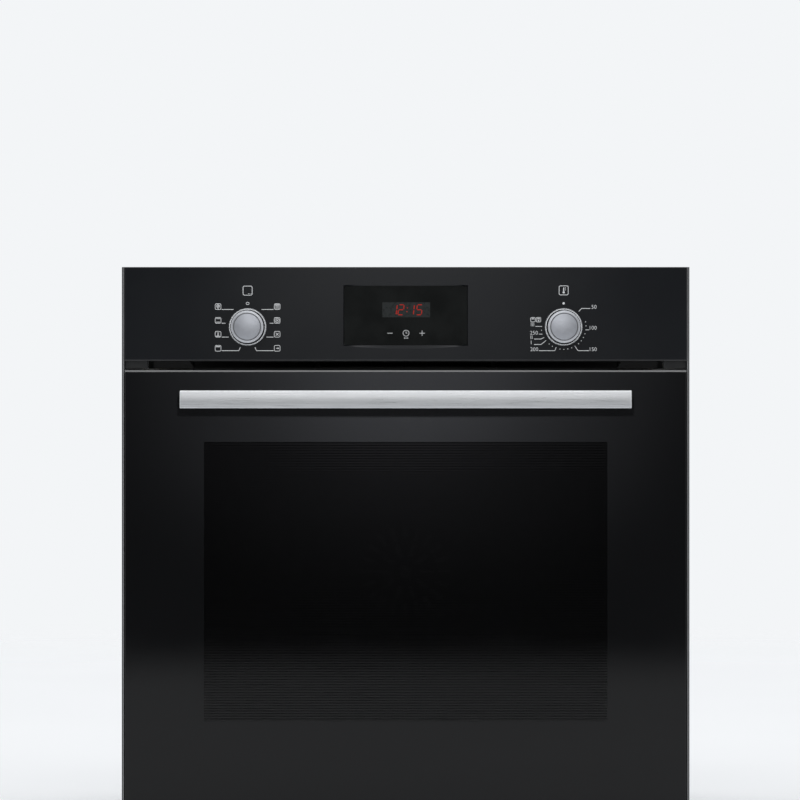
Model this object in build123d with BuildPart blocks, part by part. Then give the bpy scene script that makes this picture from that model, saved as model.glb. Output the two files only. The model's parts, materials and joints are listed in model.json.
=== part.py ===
from build123d import *
import math
import os

os.makedirs("parts", exist_ok=True)

# Built-in wall oven for a 60 cm wide kitchen niche. Millimetres, +Z up, the front faces -Y and
# +X is on the right as seen from the front. The origin is the middle of the footprint, on the
# surface that the oven stands on.

# ---- front ----
FRONT_W = 594.0
FRONT_H = 595.0
GLASS_Y = -253.0            # front face of the door glass and of the control panel
CABINET_Y = GLASS_Y + 20.0  # plane of the cabinet's front edges
HANDLE_Y = GLASS_Y - 42.0   # front face of the handle bar
REAR_Y = 295.0              # furthest point of the rear cover

# ---- casing ----
CASING_W = 556.0
CASING_H = 577.0
CASING_BACK_Y = 270.0
SHEET = 1.0
SCREW_X = 286.0
SCREW_Z = (60.0, 440.0)
SCREW_HOLE_R = 2.25

# ---- cavity ----
CAV_W = 480.0
CAV_H = 330.0
CAV_FLOOR_Z = 95.0
CAV_MID_Z = CAV_FLOOR_Z + CAV_H / 2
CAV_BACK_Y = 204.0
CAV_CORNER_R = 22.0
LINER_T = 1.2
FRAME_Y = CABINET_Y + 22.0  # front face of the sheet frame around the cavity mouth
FRAME_T = 1.5
LINER_FRONT_Y = FRAME_Y + FRAME_T

# ---- control panel ----
PANEL_W = 588.8
PANEL_BOTTOM_Z = 497.0
PANEL_BACK_Y = -235.4
PANEL_T = 3.0
KNOB_X = 165.3
KNOB_Z = 532.3
KNOB_R = 17.0
KNOB_PROUD = 16.0
KNOB_LENGTH = 26.0
KNOB_CROWN = 0.8
KNOB_FACE_R = 13.6
CUP_R = 17.6
SPINDLE_R = 3.0
RUNNING_GAP = 0.05
DISPLAY_W = 129.0
DISPLAY_H = 62.0
DISPLAY_Z = 544.3
DISPLAY_BULGE = 3.2

# ---- door ----
DOOR_W = 587.4
DOOR_BOTTOM_Z = 24.5
DOOR_TOP_Z = 487.0
GLASS_T = 4.0
GLASS_BACK_Y = GLASS_Y + GLASS_T
GLASS_TOP_Z = 485.2
INNER_GLASS_Y = -217.0
DOOR_BACK_Y = INNER_GLASS_Y + GLASS_T
INNER_GLASS_W = 536.0
HINGE_Y = -239.5
HINGE_Z = 27.0
HINGE_X = 256.5
HINGE_PIN_R = 3.5
HANDLE_W = 468.5
HANDLE_H = 18.8
HANDLE_T = 10.0
HANDLE_CROWN = 0.6
HANDLE_Z = 456.45
POST_X = 220.0

# ---- fans ----
FAN_Z = CAV_MID_Z
FAN_R = 75.0
FAN_SHAFT_R = 4.0
DRUM_Y = -20.0
DRUM_Z = 522.0
DRUM_R = 30.0
DRUM_HALF = 94.0
DRUM_SHAFT_R = 2.5
DUCT_LOW_Z = 487.5
DUCT_HIGH_Z = 500.5

SIDES = ((-1, "left"), (1, "right"))


def front_plane(y):
    """Sketch plane at depth y. Its x is +X, its y is +Z, and it extrudes towards the front."""
    return Plane.XZ.offset(-y)


def side_plane(x):
    """Sketch plane at width x. Its x is +Y, its y is +Z, and it extrudes towards +X."""
    return Plane.YZ.offset(x)


def turning_plane(x, z):
    """Sketch plane for a turned piece on an axis along Y through (x, z). Its x is the radius."""
    return Plane(origin=(x, 0, z), x_dir=(1, 0, 0), z_dir=(0, 0, 1))


def axis_along_y(x, z):
    return Axis((x, 0, z), (0, 1, 0))


def span(low, high, mode=Mode.ADD):
    """Box between two opposite corners, in the part being built."""
    centre = tuple((a + b) / 2 for a, b in zip(low, high))
    size = tuple(b - a for a, b in zip(low, high))
    with Locations(centre):
        Box(*size, mode=mode)


def rod_y(x, z, y_from, y_to, radius, mode=Mode.ADD):
    """Round rod or bore along Y, in the part being built."""
    with Locations(Location((x, (y_from + y_to) / 2, z), (90, 0, 0))):
        Cylinder(radius, y_to - y_from, mode=mode)


def rod_x(y, z, x_from, x_to, radius, mode=Mode.ADD):
    """Round rod or bore along X, in the part being built."""
    with Locations(Location(((x_from + x_to) / 2, y, z), (0, 90, 0))):
        Cylinder(radius, x_to - x_from, mode=mode)


def rod_z(x, y, z_from, z_to, radius, mode=Mode.ADD):
    """Round rod or bore along Z, in the part being built."""
    with Locations((x, y, (z_from + z_to) / 2)):
        Cylinder(radius, z_to - z_from, mode=mode)


def write_node(piece, node):
    piece.part.label = node
    export_step(piece.part, f"parts/{node}.step")


# ------------------------------------------------------------------ control panel

PANEL_MID_Z = (PANEL_BOTTOM_Z + FRONT_H) / 2
CUP_WALL = 1.0
POCKET_W = DISPLAY_W + 0.4
POCKET_H = DISPLAY_H + 0.4
POCKET_LIP_Y = GLASS_Y + 1.0
POCKET_FLOOR_Y = GLASS_Y + 2.2

with BuildPart() as control_panel:
    with BuildSketch(front_plane(PANEL_BACK_Y)):
        with Locations((0, PANEL_MID_Z)):
            Rectangle(PANEL_W, FRONT_H - PANEL_BOTTOM_Z)
    extrude(amount=PANEL_BACK_Y - GLASS_Y)
    fillet(control_panel.faces().sort_by(Axis.Y)[0].edges(), radius=1.0)
    with BuildSketch(front_plane(PANEL_BACK_Y)):
        with Locations((0, PANEL_MID_Z)):
            Rectangle(PANEL_W - 2 * PANEL_T, FRONT_H - PANEL_BOTTOM_Z - 2 * PANEL_T)
    extrude(amount=PANEL_BACK_Y - GLASS_Y - PANEL_T, mode=Mode.SUBTRACT)
    # openings for the two knob cups
    with BuildSketch(front_plane(PANEL_BACK_Y)):
        with Locations((-KNOB_X, KNOB_Z), (KNOB_X, KNOB_Z)):
            Circle(CUP_R + CUP_WALL + 0.1)
    extrude(amount=PANEL_BACK_Y - GLASS_Y, mode=Mode.SUBTRACT)
    # shallow pocket for the display glass, with a bevel that swells at its middle
    with BuildSketch(front_plane(GLASS_Y)):
        with BuildLine():
            half_w = POCKET_W / 2 + 0.5
            half_h = POCKET_H / 2 + 0.4
            top_z = DISPLAY_Z + half_h
            low_z = DISPLAY_Z - half_h
            ThreePointArc((-half_w, top_z), (0, top_z + DISPLAY_BULGE), (half_w, top_z))
            Line((half_w, top_z), (half_w, low_z))
            ThreePointArc((half_w, low_z), (0, low_z - DISPLAY_BULGE), (-half_w, low_z))
            Line((-half_w, low_z), (-half_w, top_z))
        make_face()
    with BuildSketch(front_plane(POCKET_LIP_Y)):
        with Locations((0, DISPLAY_Z)):
            Rectangle(POCKET_W, POCKET_H)
    loft(mode=Mode.SUBTRACT)
    with BuildSketch(front_plane(POCKET_FLOOR_Y)):
        with Locations((0, DISPLAY_Z)):
            Rectangle(POCKET_W, POCKET_H)
    extrude(amount=POCKET_FLOOR_Y - POCKET_LIP_Y, mode=Mode.SUBTRACT)
    with BuildSketch(front_plane(PANEL_BACK_Y)):
        with Locations((0, DISPLAY_Z)):
            Rectangle(DISPLAY_W - 8, DISPLAY_H - 8)
    extrude(amount=PANEL_BACK_Y - POCKET_LIP_Y, mode=Mode.SUBTRACT)
write_node(control_panel, "control_panel")

with BuildPart() as display_glass:
    with BuildSketch(front_plane(POCKET_FLOOR_Y)):
        with Locations((0, DISPLAY_Z)):
            RectangleRounded(DISPLAY_W, DISPLAY_H, 0.8)
    extrude(amount=1.6)
    chamfer(display_glass.faces().sort_by(Axis.Y)[0].edges(), length=0.35)
write_node(display_glass, "display_glass")

MODULE_W = 60.0
MODULE_H = 24.0
MODULE_Z = 550.3
MODULE_Y = -249.6           # front of the module, behind the display glass
BOARD_Y = -238.0
BOARD_T = 1.6
PARTS_Y = BOARD_Y + BOARD_T  # back of the bare board, where its components sit

with BuildPart() as display_module:
    module_low = (-MODULE_W / 2, MODULE_Y, MODULE_Z - MODULE_H / 2)
    module_high = (MODULE_W / 2, BOARD_Y, MODULE_Z + MODULE_H / 2)
    span(module_low, module_high)
    fillet(display_module.edges().filter_by(Axis.Y), radius=1.0)
    # four seven-segment windows in two pairs
    with BuildSketch(front_plane(MODULE_Y)):
        with Locations(*[(x, MODULE_Z) for x in (-8.0, 0.5, 10.0, 18.5)]):
            Rectangle(7.0, 12.0)
    extrude(amount=-0.6, mode=Mode.SUBTRACT)
write_node(display_module, "display_module")

with BuildPart() as control_board:
    span((-64, BOARD_Y, 516), (64, PARTS_Y, 573))
    # transformer, two relays, the edge connector and two capacitors
    span((-58, PARTS_Y, 522), (-26, PARTS_Y + 27.9, 552))
    for relay_x in (-16.0, 6.0):
        span((relay_x, PARTS_Y, 524), (relay_x + 16, PARTS_Y + 15.4, 544))
    span((-40, PARTS_Y, 560), (40, PARTS_Y + 8.4, 568))
    for capacitor_x in (34.0, 48.0):
        rod_y(capacitor_x, 534, PARTS_Y, PARTS_Y + 20.4, 5.5)
write_node(control_board, "control_board")

# ring and cup that each retracting knob slides into
CUP_FLOOR_Y = -226.5
RING_R = 19.6
RING_PROUD = 1.6

with BuildPart() as knob_bezels:
    for x in (-KNOB_X, KNOB_X):
        with BuildSketch(turning_plane(x, KNOB_Z)) as cup_profile:
            with BuildLine():
                Polyline(
                    (CUP_R, GLASS_Y - 1.0),
                    (CUP_R + 0.5, GLASS_Y - RING_PROUD),
                    (RING_R - 0.5, GLASS_Y - RING_PROUD),
                    (RING_R, GLASS_Y - 1.0),
                    (RING_R, GLASS_Y),
                    (CUP_R + CUP_WALL, GLASS_Y),
                    (CUP_R + CUP_WALL, CUP_FLOOR_Y + CUP_WALL),
                    (SPINDLE_R + 0.8, CUP_FLOOR_Y + CUP_WALL),
                    (SPINDLE_R + 0.8, CUP_FLOOR_Y),
                    (CUP_R, CUP_FLOOR_Y),
                    close=True,
                )
            make_face()
        revolve(axis=axis_along_y(x, KNOB_Z))
write_node(knob_bezels, "knob_bezels")

KNOB_FRONT_Y = GLASS_Y - KNOB_PROUD
KNOB_REAR_Y = KNOB_FRONT_Y + KNOB_LENGTH
KNOB_WALL = 2.0
KNOB_FACE_T = 3.0
KNOB_HUB_R = 5.5
GROOVE_DEPTH = 0.6
CENTRE_FLAT_R = 0.6
SPINDLE_TIP_Y = -250.0
SPINDLE_REAR_Y = -192.0
SPINDLE_FLAT = 2.2          # height of the spindle's flat above its axis

for x, knob_name, spindle_name in (
    (-KNOB_X, "function_knob", "function_spindle"),
    (KNOB_X, "temperature_knob", "temperature_spindle"),
):
    with BuildPart() as knob:
        with BuildSketch(turning_plane(x, KNOB_Z)):
            with BuildLine():
                hub_bore_r = SPINDLE_R + RUNNING_GAP
                crown_y = KNOB_FRONT_Y - KNOB_CROWN
                groove_y = KNOB_FRONT_Y + GROOVE_DEPTH
                inside_y = KNOB_FRONT_Y + KNOB_FACE_T
                # crowned face, a groove around it, then a flat rim with a rounded corner
                Line((0, crown_y), (CENTRE_FLAT_R, crown_y))
                ThreePointArc(
                    (CENTRE_FLAT_R, crown_y),
                    (KNOB_FACE_R / 2, KNOB_FRONT_Y - KNOB_CROWN * 3 / 4),
                    (KNOB_FACE_R, KNOB_FRONT_Y),
                )
                Polyline(
                    (KNOB_FACE_R, KNOB_FRONT_Y),
                    (KNOB_FACE_R + 0.25, groove_y),
                    (KNOB_FACE_R + 0.75, groove_y),
                    (KNOB_FACE_R + 1.0, KNOB_FRONT_Y),
                    (KNOB_R - 0.6, KNOB_FRONT_Y + 0.25),
                )
                RadiusArc((KNOB_R - 0.6, KNOB_FRONT_Y + 0.25), (KNOB_R, KNOB_FRONT_Y + 0.9), -0.66)
                Polyline(
                    (KNOB_R, KNOB_FRONT_Y + 0.9),
                    (KNOB_R, KNOB_REAR_Y),
                    (KNOB_R - KNOB_WALL, KNOB_REAR_Y),
                    (KNOB_R - KNOB_WALL, inside_y),
                    (KNOB_HUB_R, inside_y),
                    (KNOB_HUB_R, KNOB_REAR_Y - 0.5),
                    (hub_bore_r, KNOB_REAR_Y - 0.5),
                    (hub_bore_r, inside_y + 1.0),
                    (0, inside_y + 1.0),
                    (0, crown_y),
                )
            make_face()
        revolve(axis=axis_along_y(x, KNOB_Z))
        # index notch along the top of the flank
        notch_low = (x - 0.8, inside_y, KNOB_Z + KNOB_R - 0.5)
        notch_high = (x + 0.8, KNOB_REAR_Y, KNOB_Z + KNOB_R + 1)
        span(notch_low, notch_high, Mode.SUBTRACT)
    write_node(knob, knob_name)

    with BuildPart() as spindle:
        rod_y(x, KNOB_Z, SPINDLE_TIP_Y, SPINDLE_REAR_Y, SPINDLE_R)
        # snap ring in front of the switch
        rod_y(x, KNOB_Z, -224.0, -222.0, 4.6)
        # flat for the knob's clamping spring
        flat_low = (x - 4, SPINDLE_TIP_Y - 1, KNOB_Z + SPINDLE_FLAT)
        flat_high = (x + 4, SPINDLE_TIP_Y + 12, KNOB_Z + 4)
        span(flat_low, flat_high, Mode.SUBTRACT)
    write_node(spindle, spindle_name)

BRACKET_Y = -206.0
BRACKET_T = 1.2
BRACKET_BACK_Y = BRACKET_Y + BRACKET_T
BRACKET_HALF_W = 272.0
BRACKET_LOW_Z = 504.0
BRACKET_HIGH_Z = 574.0
BRACKET_FLANGE = 10.0
NECK_R = 5.0
NECK_Y = -212.0
BEARING_END_Y = -190.0
SWITCH_BACK_Y = -172.0
THERMOSTAT_BACK_Y = -176.0
TAB_LENGTH = 8.0
TAB_W = 6.3
TAB_T = 0.8

with BuildPart() as function_switch:
    rod_y(-KNOB_X, KNOB_Z, NECK_Y, BRACKET_BACK_Y, NECK_R)
    span((-KNOB_X - 20, BRACKET_BACK_Y, KNOB_Z - 18), (-KNOB_X + 20, SWITCH_BACK_Y, KNOB_Z + 18))
    fillet(function_switch.edges().filter_by(Axis.Y).group_by(SortBy.LENGTH)[-1], radius=3.0)
    rod_y(-KNOB_X, KNOB_Z, NECK_Y - 1, BEARING_END_Y, SPINDLE_R + RUNNING_GAP, Mode.SUBTRACT)
    # two rows of blade terminals
    with BuildSketch(front_plane(SWITCH_BACK_Y)):
        with Locations((-KNOB_X, KNOB_Z)):
            with GridLocations(8.0, 22.0, 4, 2):
                Rectangle(TAB_T, TAB_W)
    extrude(amount=-TAB_LENGTH)
write_node(function_switch, "function_switch")

with BuildPart() as thermostat:
    rod_y(KNOB_X, KNOB_Z, NECK_Y, BRACKET_BACK_Y, NECK_R)
    rod_y(KNOB_X, KNOB_Z, BRACKET_BACK_Y, THERMOSTAT_BACK_Y, 19.0)
    # fixing strap across the front of the can
    span((KNOB_X - 24, BRACKET_BACK_Y, KNOB_Z - 9), (KNOB_X + 24, BRACKET_BACK_Y + 3.3, KNOB_Z + 9))
    rod_y(KNOB_X, KNOB_Z, NECK_Y - 1, BEARING_END_Y, SPINDLE_R + RUNNING_GAP, Mode.SUBTRACT)
    with BuildSketch(front_plane(THERMOSTAT_BACK_Y)):
        with Locations((KNOB_X, KNOB_Z)):
            with GridLocations(14.0, 14.0, 2, 2):
                Rectangle(TAB_W, TAB_T)
    extrude(amount=-TAB_LENGTH)
write_node(thermostat, "thermostat")

with BuildPart() as panel_bracket:
    span((-BRACKET_HALF_W, BRACKET_Y, BRACKET_LOW_Z), (BRACKET_HALF_W, BRACKET_BACK_Y, BRACKET_HIGH_Z))
    # flange along the bottom and the top edge
    for flange_z in (BRACKET_LOW_Z, BRACKET_HIGH_Z - BRACKET_T):
        flange_low = (-BRACKET_HALF_W, BRACKET_BACK_Y, flange_z)
        flange_high = (BRACKET_HALF_W, BRACKET_Y + BRACKET_FLANGE, flange_z + BRACKET_T)
        span(flange_low, flange_high)
    with BuildSketch(front_plane(BRACKET_BACK_Y)):
        with Locations((-KNOB_X, KNOB_Z), (KNOB_X, KNOB_Z)):
            Circle(NECK_R + 0.1)
        with Locations((-110, 540), (110, 540), (-235, 540), (235, 540)):
            SlotOverall(40, 12)
        # clearance for the control board's transformer
        with Locations((-42, 537)):
            Rectangle(36, 34)
    extrude(amount=BRACKET_T, mode=Mode.SUBTRACT)
write_node(panel_bracket, "panel_bracket")


# ------------------------------------------------------------------ front surround

TRIM_INNER_X = 294.6
TRIM_FOOT_X = 291.0
TRIM_FOOT_T = 1.2
TRIM_FRONT_Y = -251.0
FOOT_Y = CABINET_Y - SHEET

for side, name in SIDES:
    with BuildPart() as side_trim:
        with BuildSketch(Plane.XY):
            with BuildLine():
                Polyline(
                    (side * TRIM_INNER_X, TRIM_FRONT_Y),
                    (side * FRONT_W / 2, TRIM_FRONT_Y),
                    (side * FRONT_W / 2, FOOT_Y),
                    (side * TRIM_FOOT_X, FOOT_Y),
                    (side * TRIM_FOOT_X, FOOT_Y - TRIM_FOOT_T),
                    (side * TRIM_INNER_X, FOOT_Y - TRIM_FOOT_T),
                    close=True,
                )
            make_face()
        extrude(amount=FRONT_H)
        fillet(side_trim.faces().sort_by(Axis.Y)[0].edges().filter_by(Axis.Z), radius=0.5)
    write_node(side_trim, f"side_trim_{name}")

GAP_LOW_Z = 488.8           # bottom of the pieces in the gap between the door and the panel
BLOCK_INNER_X = 270.0
BLOCK_FRONT_Y = -247.0
BLOCK_BACK_Y = -235.2

# block at each end of the air gap, under the panel's corner
with BuildPart() as frame_corners:
    span((BLOCK_INNER_X, BLOCK_FRONT_Y, GAP_LOW_Z), (PANEL_W / 2 - 0.1, BLOCK_BACK_Y, PANEL_BOTTOM_Z))
    fillet(frame_corners.faces().sort_by(Axis.Y)[0].edges().filter_by(Axis.Z), radius=1.0)
    mirror(about=Plane.YZ)
write_node(frame_corners, "frame_corners")

# funnel that leads the cooling air out through the gap above the door
OUTLET_Y = -241.0
OUTLET_T = 6.0
OUTLET_BACK_Y = OUTLET_Y + OUTLET_T
OUTLET_W = 528.0
FUNNEL_HALF_W = 232.0

with BuildPart() as air_outlet:
    with BuildSketch(front_plane(OUTLET_BACK_Y)):
        with Locations((0, (GAP_LOW_Z + PANEL_BOTTOM_Z) / 2)):
            Rectangle(OUTLET_W, PANEL_BOTTOM_Z - GAP_LOW_Z)
        with BuildLine():
            Polyline((-226, 496.4), (226, 496.4), (222, 489.6), (-222, 489.6), close=True)
        make_face(mode=Mode.SUBTRACT)
    extrude(amount=OUTLET_T)
    # thin ear at each end, set back beside the corner blocks
    for side, _ in SIDES:
        ear = sorted((side * OUTLET_W / 2, side * (BLOCK_INNER_X - 0.3)))
        span((ear[0], OUTLET_BACK_Y - 1, GAP_LOW_Z), (ear[1], OUTLET_BACK_Y, PANEL_BOTTOM_Z))
    funnel_low = (-FUNNEL_HALF_W, OUTLET_BACK_Y, GAP_LOW_Z)
    funnel_high = (FUNNEL_HALF_W, FRAME_Y, PANEL_BOTTOM_Z)
    span(funnel_low, funnel_high)
    bore_low = (-FUNNEL_HALF_W + 1, OUTLET_BACK_Y - 1, GAP_LOW_Z + 1)
    bore_high = (FUNNEL_HALF_W - 1, FRAME_Y + 1, PANEL_BOTTOM_Z - 1)
    span(bore_low, bore_high, Mode.SUBTRACT)
write_node(air_outlet, "air_outlet")

RAIL_HALF_W = TRIM_INNER_X - 0.3
RAIL_FRONT_Y = -248.0
RAIL_T = 1.2
RAIL_H = 12.0
BASE_HALF_W = 276.8
BASE_T = 1.2

with BuildPart() as bottom_rail:
    span((-RAIL_HALF_W, RAIL_FRONT_Y, 0), (RAIL_HALF_W, FOOT_Y - 1.5, RAIL_T))
    span((-BASE_HALF_W + 0.3, FOOT_Y - 1.5, 0), (BASE_HALF_W - 0.3, CABINET_Y, RAIL_T))
    span((-RAIL_HALF_W, RAIL_FRONT_Y, 0), (RAIL_HALF_W, RAIL_FRONT_Y + RAIL_T, RAIL_H))
    # air slots along the upright edge
    with BuildSketch(front_plane(RAIL_FRONT_Y + RAIL_T)):
        with Locations((0, 6.4)):
            with GridLocations(30.0, 1.0, 17, 1):
                SlotOverall(22, 3)
    extrude(amount=RAIL_T, mode=Mode.SUBTRACT)
write_node(bottom_rail, "bottom_rail")


# ------------------------------------------------------------------ casing

HALF_CASING = CASING_W / 2
REAR_FLANGE = 14.0
TOP_LIP = 8.0

for side, name in SIDES:
    with BuildPart() as casing_side:
        with BuildSketch(Plane.XY):
            with BuildLine():
                Polyline(
                    (side * FRONT_W / 2, FOOT_Y),
                    (side * FRONT_W / 2, CABINET_Y),
                    (side * HALF_CASING, CABINET_Y),
                    (side * HALF_CASING, CASING_BACK_Y),
                    (side * (HALF_CASING - REAR_FLANGE), CASING_BACK_Y),
                    (side * (HALF_CASING - REAR_FLANGE), CASING_BACK_Y - SHEET),
                    (side * (HALF_CASING - SHEET), CASING_BACK_Y - SHEET),
                    (side * (HALF_CASING - SHEET), FOOT_Y),
                    close=True,
                )
            make_face()
        extrude(amount=CASING_H)
        # holes for the screws into the cabinet
        for screw_z in SCREW_Z:
            rod_y(side * SCREW_X, screw_z, FOOT_Y - 1, CABINET_Y + 1, SCREW_HOLE_R, Mode.SUBTRACT)
        # ventilation slots at the lower rear
        with BuildSketch(side_plane(side * (HALF_CASING - SHEET / 2))):
            with Locations((200, 50)):
                with GridLocations(14.0, 1.0, 7, 1):
                    SlotOverall(40, 4, rotation=90)
        extrude(amount=2, both=True, mode=Mode.SUBTRACT)
    write_node(casing_side, f"casing_{name}")

TOP_FRONT_Y = -232.8

with BuildPart() as casing_top:
    span((-HALF_CASING, TOP_FRONT_Y, CASING_H), (HALF_CASING, CASING_BACK_Y, CASING_H + SHEET))
    # lip bent down along the front edge
    lip_low = (-HALF_CASING + 1.2, TOP_FRONT_Y, CASING_H - TOP_LIP)
    lip_high = (HALF_CASING - 1.2, TOP_FRONT_Y + SHEET, CASING_H)
    span(lip_low, lip_high)
    # air intake above the cooling blower
    with BuildSketch(Plane.XY.offset(CASING_H)):
        with Locations((0, DRUM_Y + 40)):
            with GridLocations(12.0, 44.0, 14, 3):
                SlotOverall(34, 4, rotation=90)
    extrude(amount=SHEET, mode=Mode.SUBTRACT)
write_node(casing_top, "casing_top")

BASE_BACK_Y = 268.8

with BuildPart() as base_plate:
    span((-BASE_HALF_W, CABINET_Y, 0), (BASE_HALF_W, BASE_BACK_Y, BASE_T))
    # edge bent up along each side
    for side, _ in SIDES:
        edge = sorted((side * BASE_HALF_W, side * (BASE_HALF_W - SHEET)))
        span((edge[0], FRAME_Y + 3, BASE_T), (edge[1], BASE_BACK_Y, 16))
    with BuildSketch(Plane.XY):
        with GridLocations(120.0, 90.0, 4, 4):
            SlotOverall(60, 6)
    extrude(amount=BASE_T, mode=Mode.SUBTRACT)
write_node(base_plate, "base_plate")

REAR_COVER_W = 280.0
REAR_COVER_H = 240.0
REAR_COVER_RIM = 14.0
MOTOR_HOLE_R = 58.0

with BuildPart() as back_panel:
    span((-HALF_CASING + 0.5, CASING_BACK_Y, 4), (HALF_CASING - 0.5, CASING_BACK_Y + SHEET, 573))
    rod_y(0, FAN_Z, CASING_BACK_Y - 1, CASING_BACK_Y + 2, MOTOR_HOLE_R, Mode.SUBTRACT)
    with BuildSketch(front_plane(CASING_BACK_Y + SHEET)):
        with Locations((0, 525)):
            with GridLocations(16.0, 1.0, 24, 1):
                SlotOverall(50, 5, rotation=90)
        with Locations((0, 60)):
            with GridLocations(16.0, 1.0, 12, 1):
                SlotOverall(40, 5, rotation=90)
    extrude(amount=SHEET, mode=Mode.SUBTRACT)
write_node(back_panel, "back_panel")

with BuildPart() as rear_cover:
    with BuildSketch(front_plane(CASING_BACK_Y + 2 * SHEET)):
        with Locations((0, FAN_Z)):
            RectangleRounded(REAR_COVER_W, REAR_COVER_H, 10)
    extrude(amount=SHEET)
    with BuildSketch(front_plane(REAR_Y)):
        with Locations((0, FAN_Z)):
            RectangleRounded(REAR_COVER_W - 2 * REAR_COVER_RIM, REAR_COVER_H - 2 * REAR_COVER_RIM, 10)
    extrude(amount=REAR_Y - CASING_BACK_Y - SHEET)
    fillet(rear_cover.faces().sort_by(Axis.Y)[-1].edges(), radius=3.0)
    with BuildSketch(front_plane(REAR_Y - SHEET)):
        with Locations((0, FAN_Z)):
            hollow_w = REAR_COVER_W - 2 * REAR_COVER_RIM - 2 * SHEET
            hollow_h = REAR_COVER_H - 2 * REAR_COVER_RIM - 2 * SHEET
            RectangleRounded(hollow_w, hollow_h, 9)
    extrude(amount=REAR_Y - CASING_BACK_Y, mode=Mode.SUBTRACT)
    with BuildSketch(front_plane(REAR_Y)):
        with Locations((0, FAN_Z)):
            with GridLocations(18.0, 60.0, 11, 3):
                SlotOverall(46, 5, rotation=90)
    extrude(amount=4, mode=Mode.SUBTRACT)
write_node(rear_cover, "rear_cover")

# pan-head screws of the rear cover and the back panel
COVER_SPOTS = [(sx * 133, FAN_Z + sz * 113) for sx in (-1, 1) for sz in (-1, 1)]
PANEL_SPOTS = [(sx * 271, z) for sx in (-1, 1) for z in (30, 290, 550)]
HEAD_R = 3.6
HEAD_H = 2.2

with BuildPart() as casing_screws:
    for spots, seat_y in ((COVER_SPOTS, CASING_BACK_Y + 2 * SHEET), (PANEL_SPOTS, CASING_BACK_Y + SHEET)):
        for x, z in spots:
            rod_y(x, z, seat_y, seat_y + HEAD_H, HEAD_R)
    # round the outer edge of every head
    head_faces = casing_screws.faces().filter_by(Plane.XZ).group_by(Axis.Y)
    fillet(head_faces[-1].edges() + head_faces[-2].edges(), radius=0.8)
write_node(casing_screws, "casing_screws")

BOX_X = -212.0
BOX_LOW_Z = 64.0
BOX_HALF_W = 34.0
BOX_H = 52.0
BOX_WALL = 2.0
BOX_BACK_Y = CASING_BACK_Y + 22.0
GLAND_Y = CASING_BACK_Y + 11.0
GLAND_NECK_R = 6.9
GLAND_BORE_R = 5.5

with BuildPart() as terminal_box:
    box_y = CASING_BACK_Y + SHEET
    span((BOX_X - BOX_HALF_W, box_y, BOX_LOW_Z), (BOX_X + BOX_HALF_W, BOX_BACK_Y, BOX_LOW_Z + BOX_H))
    fillet(terminal_box.faces().sort_by(Axis.Y)[-1].edges(), radius=2.5)
    hollow_low = (BOX_X - BOX_HALF_W + BOX_WALL, box_y, BOX_LOW_Z + BOX_WALL)
    hollow_high = (BOX_X + BOX_HALF_W - BOX_WALL, BOX_BACK_Y - BOX_WALL, BOX_LOW_Z + BOX_H - BOX_WALL)
    span(hollow_low, hollow_high, Mode.SUBTRACT)
    rod_z(BOX_X, GLAND_Y, BOX_LOW_Z - 1, BOX_LOW_Z + 3, GLAND_NECK_R + 0.1, Mode.SUBTRACT)
write_node(terminal_box, "terminal_box")

with BuildPart() as cord_gland:
    rod_z(BOX_X, GLAND_Y, BOX_LOW_Z - 12, BOX_LOW_Z, 9.0)
    rod_z(BOX_X, GLAND_Y, BOX_LOW_Z, BOX_LOW_Z + 8, GLAND_NECK_R)
    chamfer(cord_gland.faces().sort_by(Axis.Z)[0].edges(), length=2.0)
    rod_z(BOX_X, GLAND_Y, BOX_LOW_Z - 13, BOX_LOW_Z + 9, GLAND_BORE_R, Mode.SUBTRACT)
write_node(cord_gland, "cord_gland")


# ------------------------------------------------------------------ cavity

with BuildPart() as front_frame:
    span((-BASE_HALF_W, FRAME_Y, 4), (BASE_HALF_W, LINER_FRONT_Y, 484))
    # edge bent back along each side
    for side, _ in SIDES:
        edge = sorted((side * BASE_HALF_W, side * (BASE_HALF_W - 1.4)))
        span((edge[0], LINER_FRONT_Y, 20), (edge[1], LINER_FRONT_Y + 14, 480))
    with BuildSketch(front_plane(LINER_FRONT_Y)):
        with Locations((0, CAV_MID_Z)):
            RectangleRounded(CAV_W, CAV_H, CAV_CORNER_R)
        with Locations((-HINGE_X, HINGE_Z), (HINGE_X, HINGE_Z)):
            Rectangle(9, 19)
    extrude(amount=FRAME_T, mode=Mode.SUBTRACT)
write_node(front_frame, "front_frame")

FEED_R = 4.2
LAMP_HOLE_R = 18.0
GRILL_Z = 409.0
LEAD_X = 60.0
BOTTOM_ELEMENT_Z = 86.5
RING_R_MID = 92.0
RING_END_ANGLES = (-100, -80)
LAMP_X = -175.0
LAMP_Z = 374.0
PROBE_X = 175.0
PROBE_Z = 384.0

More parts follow.
